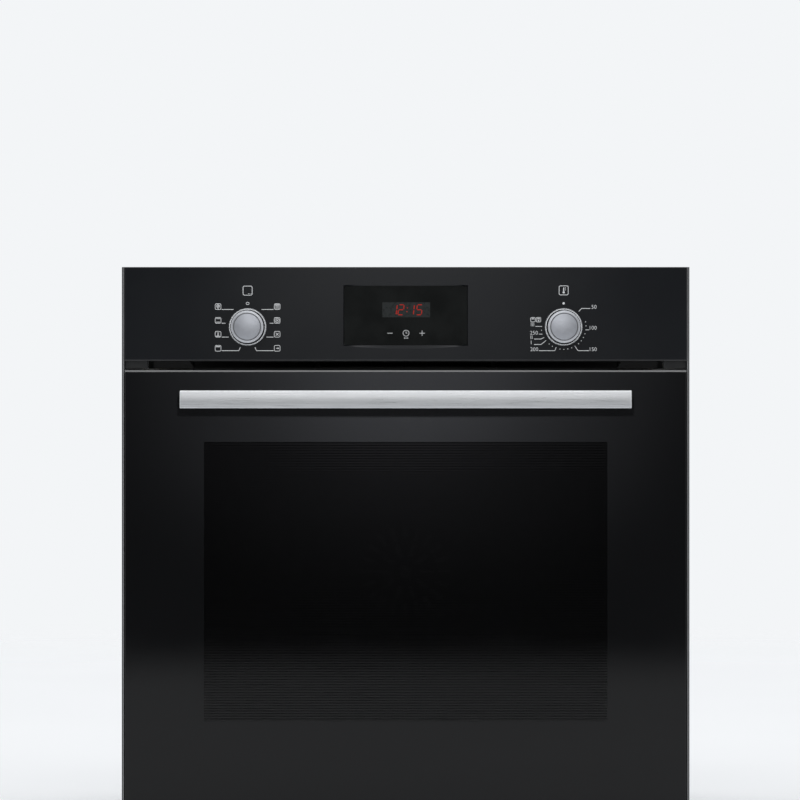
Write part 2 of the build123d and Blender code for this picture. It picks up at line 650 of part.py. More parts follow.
with BuildPart() as cavity_liner:
    with BuildSketch(front_plane(CAV_BACK_Y + LINER_T)):
        with Locations((0, CAV_MID_Z)):
            RectangleRounded(CAV_W + 2 * LINER_T, CAV_H + 2 * LINER_T, CAV_CORNER_R + LINER_T)
    extrude(amount=CAV_BACK_Y + LINER_T - LINER_FRONT_Y)
    with BuildSketch(front_plane(CAV_BACK_Y)):
        with Locations((0, CAV_MID_Z)):
            RectangleRounded(CAV_W, CAV_H, CAV_CORNER_R)
    extrude(amount=CAV_BACK_Y - LINER_FRONT_Y, mode=Mode.SUBTRACT)
    # feedthroughs: fan shaft, lamp, probe, grill element and ring element
    with BuildSketch(front_plane(CAV_BACK_Y + LINER_T)):
        with Locations((0, FAN_Z)):
            Circle(FAN_SHAFT_R + 2)
        with Locations((LAMP_X, LAMP_Z)):
            Circle(LAMP_HOLE_R)
        with Locations((PROBE_X, PROBE_Z), (-LEAD_X, GRILL_Z), (LEAD_X, GRILL_Z)):
            Circle(FEED_R)
        for angle in RING_END_ANGLES:
            feed_x = RING_R_MID * math.cos(math.radians(angle))
            feed_z = FAN_Z + RING_R_MID * math.sin(math.radians(angle))
            with Locations((feed_x, feed_z)):
                Circle(FEED_R)
    extrude(amount=LINER_T, mode=Mode.SUBTRACT)
write_node(cavity_liner, "cavity_liner")

# soft loop seal on the frame, just short of the inner door glass
SEAL_W = 506.0
SEAL_H = 356.0
SEAL_BEAD = 8.0

with BuildPart() as door_seal:
    with BuildSketch(front_plane(FRAME_Y)):
        with Locations((0, CAV_MID_Z)):
            RectangleRounded(SEAL_W + SEAL_BEAD, SEAL_H + SEAL_BEAD, 32)
            RectangleRounded(SEAL_W - SEAL_BEAD, SEAL_H - SEAL_BEAD, 24, mode=Mode.SUBTRACT)
    extrude(amount=1.7)
    fillet(door_seal.faces().sort_by(Axis.Y)[0].edges(), radius=0.8)
write_node(door_seal, "door_seal")

WOOL_BACK_Y = 240.0

with BuildPart() as insulation:
    span((-266, -204, 66), (266, WOOL_BACK_Y, 455))
    with BuildSketch(front_plane(CAV_BACK_Y + LINER_T + 0.5)):
        with Locations((0, CAV_MID_Z)):
            RectangleRounded(CAV_W + 2 * LINER_T + 1, CAV_H + 2 * LINER_T + 1, CAV_CORNER_R + 2)
    extrude(amount=CAV_BACK_Y + 220, mode=Mode.SUBTRACT)
    # room for the bottom element under the liner
    span((-205, -175, 81), (205, CAV_BACK_Y + LINER_T + 0.5, 110), Mode.SUBTRACT)
    # passages for the motor, the lamp, the probe and the ends of the three elements
    wool_holes = [
        (0, FAN_Z, 50.0),
        (LAMP_X, LAMP_Z, 24.0),
        (PROBE_X, PROBE_Z, 6.0),
        (-LEAD_X, GRILL_Z, 6.0),
        (LEAD_X, GRILL_Z, 6.0),
        (-LEAD_X, BOTTOM_ELEMENT_Z, 4.5),
        (LEAD_X, BOTTOM_ELEMENT_Z, 4.5),
    ]
    for x, z, hole_r in wool_holes:
        rod_y(x, z, CAV_BACK_Y - 4, WOOL_BACK_Y + 5, hole_r, Mode.SUBTRACT)
    ring_low = (-26, CAV_BACK_Y - 4, FAN_Z - RING_R_MID - 6)
    ring_high = (26, WOOL_BACK_Y + 5, FAN_Z - 45)
    span(ring_low, ring_high, Mode.SUBTRACT)
write_node(insulation, "insulation")

WIRE_R = 2.0
POST_WIRE_R = 2.5
RACK_WIRE_X = 232.0
RACK_POST_X = 236.0
LEVELS_Z = (130.0, 190.0, 250.0, 310.0, 370.0)
CHANNEL_H = 13.0
RACK_FRONT_Y = -192.0
RACK_BACK_Y = 162.0

for side, name in SIDES:
    with BuildPart() as shelf_rack:
        for post_y in (RACK_FRONT_Y + 14, (RACK_FRONT_Y + RACK_BACK_Y) / 2, RACK_BACK_Y - 14):
            rod_z(side * RACK_POST_X, post_y, LEVELS_Z[0] - 10, LEVELS_Z[-1] + CHANNEL_H + 8, POST_WIRE_R)
        for level_z in LEVELS_Z:
            for wire_z in (level_z, level_z + CHANNEL_H):
                rod_y(side * RACK_WIRE_X, wire_z, RACK_FRONT_Y, RACK_BACK_Y, WIRE_R)
            # bent end that closes each guide channel at the back
            rod_z(side * RACK_WIRE_X, RACK_BACK_Y - 3, level_z, level_z + CHANNEL_H, WIRE_R - 0.3)
        # studs that hook into the cavity wall
        for stud_y in (RACK_FRONT_Y + 14, RACK_BACK_Y - 14):
            for stud_z in (150, 350):
                stud = sorted((side * RACK_POST_X, side * CAV_W / 2))
                rod_x(stud_y, stud_z, stud[0], stud[1], 3.0)
    write_node(shelf_rack, f"shelf_rack_{name}")

SHELF_WIRE_R = 3.0
SHELF_X = 230.0
SHELF_Z = LEVELS_Z[1] + WIRE_R + SHELF_WIRE_R
SHELF_FRONT_Y = -196.0
SHELF_BACK_Y = 156.0

with BuildPart() as wire_shelf:
    with BuildLine() as shelf_loop:
        FilletPolyline(
            (-SHELF_X, SHELF_FRONT_Y, SHELF_Z),
            (-SHELF_X, SHELF_BACK_Y, SHELF_Z),
            (SHELF_X, SHELF_BACK_Y, SHELF_Z),
            (SHELF_X, SHELF_FRONT_Y, SHELF_Z),
            radius=14,
            close=True,
        )
    with BuildSketch(Plane(origin=shelf_loop.line @ 0, z_dir=shelf_loop.line % 0)):
        Circle(SHELF_WIRE_R)
    sweep()
    for bar_y in (-90.0, 40.0):
        rod_x(bar_y, SHELF_Z - 1.5, -SHELF_X, SHELF_X, 2.2)
    for index in range(-9, 10):
        rod_y(index * 22.5, SHELF_Z + 1.6, SHELF_FRONT_Y, SHELF_BACK_Y, 1.3)
write_node(wire_shelf, "wire_shelf")

TUBE_R = 3.25
LEAD_END_Y = 254.0


def tube_along(points, radius):
    """Bent heating tube through the points, in the part being built."""
    with BuildLine() as route:
        FilletPolyline(*points, radius=radius)
    with BuildSketch(Plane(origin=route.line @ 0, z_dir=route.line % 0)) as tube_section:
        Circle(TUBE_R)
    sweep(sections=tube_section.sketch, path=route.line)


with BuildPart() as grill_element:
    tube_along(
        [
            (-LEAD_X, LEAD_END_Y, GRILL_Z),
            (-LEAD_X, 166, GRILL_Z),
            (-205, 166, GRILL_Z),
            (-205, -166, GRILL_Z),
            (-125, -166, GRILL_Z),
            (-125, 112, GRILL_Z),
            (-45, 112, GRILL_Z),
            (-45, -166, GRILL_Z),
            (45, -166, GRILL_Z),
            (45, 112, GRILL_Z),
            (125, 112, GRILL_Z),
            (125, -166, GRILL_Z),
            (205, -166, GRILL_Z),
            (205, 166, GRILL_Z),
            (LEAD_X, 166, GRILL_Z),
            (LEAD_X, LEAD_END_Y, GRILL_Z),
        ],
        22,
    )
write_node(grill_element, "grill_element")

with BuildPart() as bottom_element:
    tube_along(
        [
            (-LEAD_X, LEAD_END_Y, BOTTOM_ELEMENT_Z),
            (-LEAD_X, 150, BOTTOM_ELEMENT_Z),
            (-185, 150, BOTTOM_ELEMENT_Z),
            (-185, -155, BOTTOM_ELEMENT_Z),
            (185, -155, BOTTOM_ELEMENT_Z),
            (185, 150, BOTTOM_ELEMENT_Z),
            (LEAD_X, 150, BOTTOM_ELEMENT_Z),
            (LEAD_X, LEAD_END_Y, BOTTOM_ELEMENT_Z),
        ],
        30,
    )
write_node(bottom_element, "bottom_element")

RING_Y = 188.0

with BuildPart() as ring_element:
    start = math.radians(RING_END_ANGLES[1])
    start_plane = Plane(
        origin=(0, 0, FAN_Z),
        x_dir=(math.cos(start), 0, math.sin(start)),
        z_dir=(-math.sin(start), 0, math.cos(start)),
    )
    with BuildSketch(start_plane):
        with Locations((RING_R_MID, RING_Y)):
            Circle(TUBE_R)
    revolve(axis=Axis((0, 0, FAN_Z), (0, -1, 0)), revolution_arc=340)
    for angle in RING_END_ANGLES:
        end_x = RING_R_MID * math.cos(math.radians(angle))
        end_z = FAN_Z + RING_R_MID * math.sin(math.radians(angle))
        rod_y(end_x, end_z, RING_Y, LEAD_END_Y, TUBE_R - 0.15)
write_node(ring_element, "ring_element")

BAFFLE_Y = 172.0
BAFFLE_W = 236.0

with BuildPart() as fan_baffle:
    with BuildSketch(front_plane(CAV_BACK_Y)):
        with Locations((0, FAN_Z)):
            RectangleRounded(BAFFLE_W, BAFFLE_W, 14)
    extrude(amount=CAV_BACK_Y - BAFFLE_Y)
    fillet(fan_baffle.faces().sort_by(Axis.Y)[0].edges(), radius=3)
    with BuildSketch(front_plane(CAV_BACK_Y)):
        with Locations((0, FAN_Z)):
            RectangleRounded(BAFFLE_W - 2.4, BAFFLE_W - 2.4, 13)
    extrude(amount=CAV_BACK_Y - BAFFLE_Y - LINER_T, mode=Mode.SUBTRACT)
    # intake slots over the fan, and outlet slots along the four edges
    with BuildSketch(front_plane(BAFFLE_Y + LINER_T)):
        with Locations((0, FAN_Z)):
            Circle(7)
            with PolarLocations(24, 10):
                SlotOverall(16, 5)
            with PolarLocations(44, 20):
                SlotOverall(16, 5)
            with GridLocations(196.0, 26.0, 2, 6):
                SlotOverall(20, 6, rotation=90)
            with GridLocations(26.0, 196.0, 6, 2):
                SlotOverall(20, 6)
    extrude(amount=LINER_T, mode=Mode.SUBTRACT)
write_node(fan_baffle, "fan_baffle")

BLADES = 10

with BuildPart() as convection_fan:
    rod_y(0, FAN_Z, 195.6, 196.8, FAN_R)
    rod_y(0, FAN_Z, 184.0, 201.0, 11.0)
    rod_y(0, FAN_Z, 181.0, 236.0, FAN_SHAFT_R)
    blade_plane = Plane(origin=(0, 195.8, FAN_Z), x_dir=(1, 0, 0), z_dir=(0, -1, 0))
    with BuildSketch(blade_plane):
        with PolarLocations(58.0, BLADES):
            Rectangle(30.0, 1.0, rotation=25)
    extrude(amount=16.0)
write_node(convection_fan, "convection_fan")

MOTOR_Y = 218.0
MOTOR_BACK_Y = 284.0
MOTOR_R = 40.0

with BuildPart() as convection_motor:
    rod_y(0, FAN_Z, MOTOR_Y - 4, MOTOR_Y, 16.0)
    rod_y(0, FAN_Z, MOTOR_Y, MOTOR_BACK_Y, MOTOR_R)
    fillet(convection_motor.faces().sort_by(Axis.Y)[-1].edges(), radius=4)
    # bracket with two arms, outside the insulation
    span((-80, 241, FAN_Z - 14), (80, 242.6, FAN_Z + 14))
    # cooling slots in the end cap
    with BuildSketch(front_plane(MOTOR_BACK_Y)):
        with Locations((0, FAN_Z)):
            with PolarLocations(26, 8):
                SlotOverall(14, 4)
    extrude(amount=5, mode=Mode.SUBTRACT)
    rod_y(0, FAN_Z, MOTOR_Y - 5, MOTOR_Y + 20, FAN_SHAFT_R + RUNNING_GAP, Mode.SUBTRACT)
write_node(convection_motor, "convection_motor")

LAMP_Y = 186.0
LAMP_RIM_Y = 200.0
LAMP_R = 19.0
LAMP_BORE_R = 17.0

with BuildPart() as lamp_cover:
    rod_y(LAMP_X, LAMP_Z, LAMP_RIM_Y, CAV_BACK_Y, 24.0)
    rod_y(LAMP_X, LAMP_Z, LAMP_Y, LAMP_RIM_Y, LAMP_R)
    fillet(lamp_cover.faces().sort_by(Axis.Y)[0].edges(), radius=5.0)
    rod_y(LAMP_X, LAMP_Z, LAMP_Y + 2, CAV_BACK_Y, LAMP_BORE_R, Mode.SUBTRACT)
    # round the inside of the closed end
    rims = lamp_cover.edges().filter_by(GeomType.CIRCLE)
    fillet(rims.filter_by(lambda e: abs(e.radius - LAMP_BORE_R) < 0.01).sort_by(Axis.Y)[0], radius=3.0)
write_node(lamp_cover, "lamp_cover")

with BuildPart() as lamp_bulb:
    rod_y(LAMP_X, LAMP_Z, LAMP_Y + 10, LAMP_Y + 22, 7.0)
    fillet(lamp_bulb.faces().sort_by(Axis.Y)[0].edges(), radius=5.0)
    rod_y(LAMP_X, LAMP_Z, LAMP_Y + 22, LAMP_Y + 30, 5.0)
write_node(lamp_bulb, "lamp_bulb")

with BuildPart() as lamp_socket:
    liner_back_y = CAV_BACK_Y + LINER_T
    rod_y(LAMP_X, LAMP_Z, liner_back_y, WOOL_BACK_Y + 10, 17.5)
    rod_y(LAMP_X, LAMP_Z, liner_back_y, liner_back_y + 1.5, 22.0)
    # bore for the bulb's cap
    rod_y(LAMP_X, LAMP_Z, CAV_BACK_Y, LAMP_Y + 30, 13.0, Mode.SUBTRACT)
write_node(lamp_socket, "lamp_socket")

PROBE_TIP_Y = 96.0

with BuildPart() as thermostat_probe:
    rod_y(PROBE_X, PROBE_Z, PROBE_TIP_Y, 222.0, TUBE_R)
    with Locations((PROBE_X, PROBE_TIP_Y, PROBE_Z)):
        Sphere(TUBE_R)
    # clip on the rear wall
    rod_y(PROBE_X, PROBE_Z, CAV_BACK_Y - 3, CAV_BACK_Y, 8.0)
write_node(thermostat_probe, "thermostat_probe")


# ------------------------------------------------------------------ cooling blower

HOUSING_HALF = 100.0
HOUSING_R = 38.0
DUCT_BACK_Y = -96.0

with BuildPart() as cooling_duct:
    with BuildSketch(Plane.XY.offset(DUCT_LOW_Z)):
        with BuildLine():
            Polyline(
                (-225, LINER_FRONT_Y),
                (225, LINER_FRONT_Y),
                (HOUSING_HALF, DUCT_BACK_Y),
                (-HOUSING_HALF, DUCT_BACK_Y),
                close=True,
            )
        make_face()
    extrude(amount=DUCT_HIGH_Z - DUCT_LOW_Z)
    with BuildSketch(Plane.XY.offset(DUCT_LOW_Z + SHEET)):
        with BuildLine():
            Polyline(
                (-223.5, LINER_FRONT_Y - 1),
                (223.5, LINER_FRONT_Y - 1),
                (HOUSING_HALF - 2, DUCT_BACK_Y + 1),
                (-HOUSING_HALF + 2, DUCT_BACK_Y + 1),
                close=True,
            )
        make_face()
    extrude(amount=DUCT_HIGH_Z - DUCT_LOW_Z - 2 * SHEET, mode=Mode.SUBTRACT)
write_node(cooling_duct, "cooling_duct")

with BuildPart() as blower_housing:
    with BuildSketch(side_plane(-HOUSING_HALF)):
        with Locations((DRUM_Y, DRUM_Z)):
            Circle(HOUSING_R)
        with Locations(((DUCT_BACK_Y + DRUM_Y) / 2, (DUCT_LOW_Z + DUCT_HIGH_Z) / 2)):
            Rectangle(DRUM_Y - DUCT_BACK_Y, DUCT_HIGH_Z - DUCT_LOW_Z)
    extrude(amount=2 * HOUSING_HALF)
    with BuildSketch(side_plane(-HOUSING_HALF + SHEET)):
        with Locations((DRUM_Y, DRUM_Z)):
            Circle(HOUSING_R - SHEET)
        with Locations(((DUCT_BACK_Y + DRUM_Y) / 2, (DUCT_LOW_Z + DUCT_HIGH_Z) / 2)):
            Rectangle(DRUM_Y - DUCT_BACK_Y + 4, DUCT_HIGH_Z - DUCT_LOW_Z - 2 * SHEET)
    extrude(amount=2 * (HOUSING_HALF - SHEET), mode=Mode.SUBTRACT)
    # intake: the upper rear quarter of the scroll is open between the end plates
    intake_low = (-HOUSING_HALF + SHEET, DRUM_Y, DRUM_Z + 8)
    intake_high = (HOUSING_HALF - SHEET, DRUM_Y + HOUSING_R + 1, DRUM_Z + HOUSING_R + 1)
    span(intake_low, intake_high, Mode.SUBTRACT)
    rod_x(DRUM_Y, DRUM_Z, -HOUSING_HALF - 1, HOUSING_HALF + 1, DRUM_SHAFT_R + 3, Mode.SUBTRACT)
write_node(blower_housing, "blower_housing")

DRUM_BLADES = 26
DISC_T = 1.2

with BuildPart() as blower_drum:
    for disc_x in (-DRUM_HALF, -DISC_T / 2, DRUM_HALF - DISC_T):
        rod_x(DRUM_Y, DRUM_Z, disc_x, disc_x + DISC_T, DRUM_R)
    with BuildSketch(side_plane(-DRUM_HALF)):
        with Locations((DRUM_Y, DRUM_Z)):
            with PolarLocations(DRUM_R - 3.2, DRUM_BLADES):
                Rectangle(6.0, 0.7, rotation=35)
    extrude(amount=2 * DRUM_HALF)
    rod_x(DRUM_Y, DRUM_Z, -HOUSING_HALF - 8, HOUSING_HALF + 24, DRUM_SHAFT_R)
write_node(blower_drum, "blower_drum")

with BuildPart() as blower_motor:
    # motor on the right end and bearing block on the left end
    rod_x(DRUM_Y, DRUM_Z, HOUSING_HALF, HOUSING_HALF + 4, 14.0)
    rod_x(DRUM_Y, DRUM_Z, HOUSING_HALF + 4, HOUSING_HALF + 38, 24.0)
    span((HOUSING_HALF, DRUM_Y - 30, DRUM_Z - 7), (HOUSING_HALF + 2, DRUM_Y + 30, DRUM_Z + 7))
    rod_x(DRUM_Y, DRUM_Z, -HOUSING_HALF - 7, -HOUSING_HALF, 9.0)
    bore_r = DRUM_SHAFT_R + RUNNING_GAP
    rod_x(DRUM_Y, DRUM_Z, HOUSING_HALF - 1, HOUSING_HALF + 26, bore_r, Mode.SUBTRACT)
    rod_x(DRUM_Y, DRUM_Z, -HOUSING_HALF - 8, -HOUSING_HALF + 1, bore_r, Mode.SUBTRACT)
write_node(blower_motor, "blower_motor")


# ------------------------------------------------------------------ door

ARM_T = 5.0
ARM_HALF_H = 6.0
ARM_EYE_R = 6.2
ARM_BACK_Y = -176.0

with BuildPart() as hinge_arms:
    with BuildSketch(side_plane(HINGE_X - ARM_T / 2)):
        with Locations((HINGE_Y, HINGE_Z)):
            Circle(ARM_EYE_R)
        with Locations(((HINGE_Y + ARM_BACK_Y) / 2, HINGE_Z)):
            Rectangle(ARM_BACK_Y - HINGE_Y, 2 * ARM_HALF_H)
        with Locations((HINGE_Y, HINGE_Z)):
            Circle(HINGE_PIN_R + RUNNING_GAP, mode=Mode.SUBTRACT)
    extrude(amount=ARM_T)
    # block behind the frame that the arm hooks into
    span((HINGE_X - 9, LINER_FRONT_Y, HINGE_Z - 11), (HINGE_X + 9, ARM_BACK_Y, HINGE_Z + 15))
    mirror(about=Plane.YZ)
write_node(hinge_arms, "hinge_arms")

CHEEK_T = 2.0
CHANNEL_HALF = 9.0
CHANNEL_TOP_Z = 150.0
CHANNEL_FRONT_Y = -247.6
CHANNEL_WEB = 1.2
CHANNEL_BACK_Y = -224.0

with BuildPart() as hinge_channels:
    with BuildSketch(side_plane(HINGE_X - CHANNEL_HALF)):
        with BuildLine():
            Polyline(
                (CHANNEL_FRONT_Y, HINGE_Z - 4),
                (HINGE_Y - 4, HINGE_Z - 8),
                (HINGE_Y + 4, HINGE_Z - 8),
                (HINGE_Y + 8, HINGE_Z - 4),
                (HINGE_Y + 8, HINGE_Z + 8),
                (CHANNEL_BACK_Y, HINGE_Z + 16),
                (CHANNEL_BACK_Y, CHANNEL_TOP_Z),
                (CHANNEL_FRONT_Y, CHANNEL_TOP_Z),
                close=True,
            )
        make_face()
    extrude(amount=2 * CHANNEL_HALF)
    # hollow it from the back, leaving a web at the front and two cheeks
    slot_low = (HINGE_X - CHANNEL_HALF + CHEEK_T, CHANNEL_FRONT_Y + CHANNEL_WEB, HINGE_Z - 10)
    slot_high = (HINGE_X + CHANNEL_HALF - CHEEK_T, CHANNEL_BACK_Y + 1, CHANNEL_TOP_Z + 1)
    span(slot_low, slot_high, Mode.SUBTRACT)
    rod_x(HINGE_Y, HINGE_Z, HINGE_X - 12, HINGE_X + 12, HINGE_PIN_R + 0.02, Mode.SUBTRACT)
    mirror(about=Plane.YZ)
write_node(hinge_channels, "hinge_channels")

with BuildPart() as hinge_pins:
    rod_x(HINGE_Y, HINGE_Z, HINGE_X - CHANNEL_HALF - 0.5, HINGE_X + CHANNEL_HALF, HINGE_PIN_R)
    rod_x(HINGE_Y, HINGE_Z, HINGE_X + CHANNEL_HALF, HINGE_X + CHANNEL_HALF + 0.9, 5.5)
    mirror(about=Plane.YZ)
write_node(hinge_pins, "hinge_pins")

SPRING_LOW_Z = 62.0
SPRING_HIGH_Z = 138.0
SPRING_Y = -235.0
COIL_R = 4.5
COIL_WIRE_R = 0.9

with BuildPart() as hinge_springs:
    with BuildLine() as coil_line:
        spring_foot = (HINGE_X, SPRING_Y, SPRING_LOW_Z)
        Helix(pitch=4.0, height=SPRING_HIGH_Z - SPRING_LOW_Z, radius=COIL_R, center=spring_foot)
    with BuildSketch(Plane(origin=coil_line.line @ 0, z_dir=coil_line.line % 0)):
        Circle(COIL_WIRE_R)
    sweep(is_frenet=True)
    # guide rod, held at the top by a cross pin
    rod_z(HINGE_X, SPRING_Y, 46.0, 146.0, 1.6)
    mirror(about=Plane.YZ)
write_node(hinge_springs, "hinge_springs")

HANDLE_HOLE_R = 3.2
MIDDLE_GLASS_Y = -232.0
PANE_MID_Z = 260.0

with BuildPart() as door_outer_glass:
    with BuildSketch(front_plane(GLASS_BACK_Y)):
        with Locations((0, (DOOR_BOTTOM_Z + GLASS_TOP_Z) / 2)):
            RectangleRounded(DOOR_W, GLASS_TOP_Z - DOOR_BOTTOM_Z, 1.5)
        with Locations((-POST_X, HANDLE_Z), (POST_X, HANDLE_Z)):
            Circle(HANDLE_HOLE_R, mode=Mode.SUBTRACT)
    extrude(amount=GLASS_T)
    outline = door_outer_glass.faces().sort_by(Axis.Y)[0].outer_wire().edges()
    chamfer(outline, length=0.5)
write_node(door_outer_glass, "door_outer_glass")

with BuildPart() as door_middle_glass:
    with BuildSketch(front_plane(MIDDLE_GLASS_Y)):
        with Locations((0, PANE_MID_Z + 2)):
            RectangleRounded(490, 404, 3)
    extrude(amount=3.0)
write_node(door_middle_glass, "door_middle_glass")

with BuildPart() as door_inner_glass:
    with BuildSketch(front_plane(DOOR_BACK_Y)):
        with Locations((0, PANE_MID_Z - 1)):
            RectangleRounded(INNER_GLASS_W, 438, 5)
    extrude(amount=GLASS_T)
    chamfer(door_inner_glass.faces().sort_by(Axis.Y)[-1].edges(), length=0.6)
write_node(door_inner_glass, "door_inner_glass")

DOOR_SHEET = 1.2
VENT_Y = -232.0

with BuildPart() as door_top_trim:
    with BuildSketch(side_plane(-DOOR_W / 2)):
        with BuildLine():
            Polyline(
                (GLASS_Y, GLASS_TOP_Z + 0.05),
                (GLASS_Y, DOOR_TOP_Z),
                (INNER_GLASS_Y, DOOR_TOP_Z),
                (INNER_GLASS_Y, 480.0),
                (INNER_GLASS_Y - DOOR_SHEET, 480.0),
                (INNER_GLASS_Y - DOOR_SHEET, DOOR_TOP_Z - DOOR_SHEET),
                (GLASS_BACK_Y + DOOR_SHEET, DOOR_TOP_Z - DOOR_SHEET),
                (GLASS_BACK_Y + DOOR_SHEET, 474.0),
                (GLASS_BACK_Y, 474.0),
                (GLASS_BACK_Y, GLASS_TOP_Z + 0.05),
                close=True,
            )
        make_face()
    extrude(amount=DOOR_W)
    # the part behind the glass is narrower than the visible edge
    for side, _ in SIDES:
        ends = sorted((side * INNER_GLASS_W / 2, side * (DOOR_W / 2 + 1)))
        span((ends[0], GLASS_BACK_Y, 470), (ends[1], -200, 490), Mode.SUBTRACT)
    # slots that let warm air out of the top of the door
    with BuildSketch(Plane.XY.offset(DOOR_TOP_Z - 2)):
        with Locations((0, VENT_Y)):
            with GridLocations(30.0, 1.0, 16, 1):
                SlotOverall(22, 5)
    extrude(amount=3, mode=Mode.SUBTRACT)
write_node(door_top_trim, "door_top_trim")

PROFILE_LOW_Z = 26.0
BOTTOM_HALF_W = 245.5

with BuildPart() as door_bottom_profile:
    # front leg, web and rear leg
    span((-BOTTOM_HALF_W, GLASS_BACK_Y, PROFILE_LOW_Z), (BOTTOM_HALF_W, GLASS_BACK_Y + DOOR_SHEET, 46))
    web_top_z = PROFILE_LOW_Z + DOOR_SHEET
    span((-BOTTOM_HALF_W, GLASS_BACK_Y, PROFILE_LOW_Z), (BOTTOM_HALF_W, INNER_GLASS_Y, web_top_z))
    span((-BOTTOM_HALF_W, INNER_GLASS_Y - DOOR_SHEET, PROFILE_LOW_Z), (BOTTOM_HALF_W, INNER_GLASS_Y, 52))
    with BuildSketch(Plane.XY.offset(PROFILE_LOW_Z)):
        with Locations((0, VENT_Y)):
            with GridLocations(30.0, 1.0, 14, 1):
                SlotOverall(22, 5)
    extrude(amount=DOOR_SHEET, mode=Mode.SUBTRACT)
write_node(door_bottom_profile, "door_bottom_profile")

# channel at each side of the door, open towards the middle, that holds the panes and the hinge
PROFILE_OUT_X = 268.0
PROFILE_IN_X = 246.5
PROFILE_TOP_Z = 473.5
LEDGE_X = 243.0
LEDGE_LOW_Z = 60.0

with BuildPart() as door_side_profiles:
    web_x = PROFILE_OUT_X - 1.5
    front_leg_y = GLASS_BACK_Y + DOOR_SHEET
    span((web_x, GLASS_BACK_Y, PROFILE_LOW_Z), (PROFILE_OUT_X, INNER_GLASS_Y, PROFILE_TOP_Z))
    span((PROFILE_IN_X, GLASS_BACK_Y, PROFILE_LOW_Z), (PROFILE_OUT_X, front_leg_y, PROFILE_TOP_Z))
    span((PROFILE_IN_X, INNER_GLASS_Y - DOOR_SHEET, 42), (PROFILE_OUT_X, INNER_GLASS_Y, PROFILE_TOP_Z))
    # ledge for the middle pane, above the foot of the hinge channel
    span((LEDGE_X, GLASS_BACK_Y, LEDGE_LOW_Z), (LEDGE_X + DOOR_SHEET, MIDDLE_GLASS_Y - 3, PROFILE_TOP_Z))
    span((LEDGE_X, GLASS_BACK_Y, LEDGE_LOW_Z), (PROFILE_IN_X, front_leg_y, PROFILE_TOP_Z))
    mirror(about=Plane.YZ)
write_node(door_side_profiles, "door_side_profiles")

with BuildPart() as handle_bar:
    with BuildSketch(side_plane(-HANDLE_W / 2)) as handle_section:
        with BuildLine():
            edge_y = HANDLE_Y + HANDLE_CROWN
            back_y = HANDLE_Y + HANDLE_T
            low_z = HANDLE_Z - HANDLE_H / 2
            high_z = HANDLE_Z + HANDLE_H / 2
            ThreePointArc((edge_y, low_z), (HANDLE_Y, HANDLE_Z), (edge_y, high_z))
            Polyline((edge_y, high_z), (back_y, high_z), (back_y, low_z), (edge_y, low_z))
        make_face()
        fillet(handle_section.vertices(), radius=1.4)
    extrude(amount=HANDLE_W)
    chamfer(handle_bar.faces().filter_by(Axis.X).edges(), length=0.4)
write_node(handle_bar, "handle_bar")

HANDLE_SCREW_R = 2.45

with BuildPart() as handle_posts:
    with BuildSketch(front_plane(GLASS_Y)):
        with Locations((-POST_X, HANDLE_Z), (POST_X, HANDLE_Z)):
            RectangleRounded(18, 14, 3)
    extrude(amount=GLASS_Y - HANDLE_Y - HANDLE_T)
    for x in (-POST_X, POST_X):
        rod_y(x, HANDLE_Z, GLASS_Y - 18, GLASS_Y + 1, HANDLE_SCREW_R + 0.05, Mode.SUBTRACT)
write_node(handle_posts, "handle_posts")

with BuildPart() as handle_screws:
    for x in (-POST_X, POST_X):
        rod_y(x, HANDLE_Z, GLASS_Y - 14, GLASS_BACK_Y, HANDLE_SCREW_R)
        rod_y(x, HANDLE_Z, GLASS_BACK_Y, GLASS_BACK_Y + 3.2, 5.0)
write_node(handle_screws, "handle_screws")
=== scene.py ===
import json
import math

import bmesh
import bpy
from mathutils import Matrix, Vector

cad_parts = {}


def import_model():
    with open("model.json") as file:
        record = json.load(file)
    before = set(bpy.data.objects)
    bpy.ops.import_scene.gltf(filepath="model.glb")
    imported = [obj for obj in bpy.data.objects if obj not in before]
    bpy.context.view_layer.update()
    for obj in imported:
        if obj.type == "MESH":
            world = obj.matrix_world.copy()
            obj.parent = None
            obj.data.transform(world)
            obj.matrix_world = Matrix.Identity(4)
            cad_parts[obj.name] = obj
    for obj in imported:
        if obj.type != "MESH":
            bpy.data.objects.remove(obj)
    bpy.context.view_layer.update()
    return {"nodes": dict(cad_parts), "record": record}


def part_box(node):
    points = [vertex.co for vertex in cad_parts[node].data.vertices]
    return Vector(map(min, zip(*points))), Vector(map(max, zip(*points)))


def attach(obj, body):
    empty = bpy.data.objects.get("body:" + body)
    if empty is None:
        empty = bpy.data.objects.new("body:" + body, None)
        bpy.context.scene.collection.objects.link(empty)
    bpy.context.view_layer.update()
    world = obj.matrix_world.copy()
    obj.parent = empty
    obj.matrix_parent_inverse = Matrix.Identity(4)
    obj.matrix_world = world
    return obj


# Looks of a built-in wall oven: a finish for every CAD node, the print on the control panel and
# its clock, the floor, the lights and the camera. Metres, in the row's frame: the front faces -Y.

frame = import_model()
nodes = frame["nodes"]

MM = 0.001
KNOB = "temperature_knob"  # its twin lies mirrored in X = 0


def grey(value, blue=0.0):
    """A grey, a little cooler where blue is above 0."""
    return (value * (1 - blue), value, value * (1 + blue))


# ------------------------------------------------------------------ surfaces


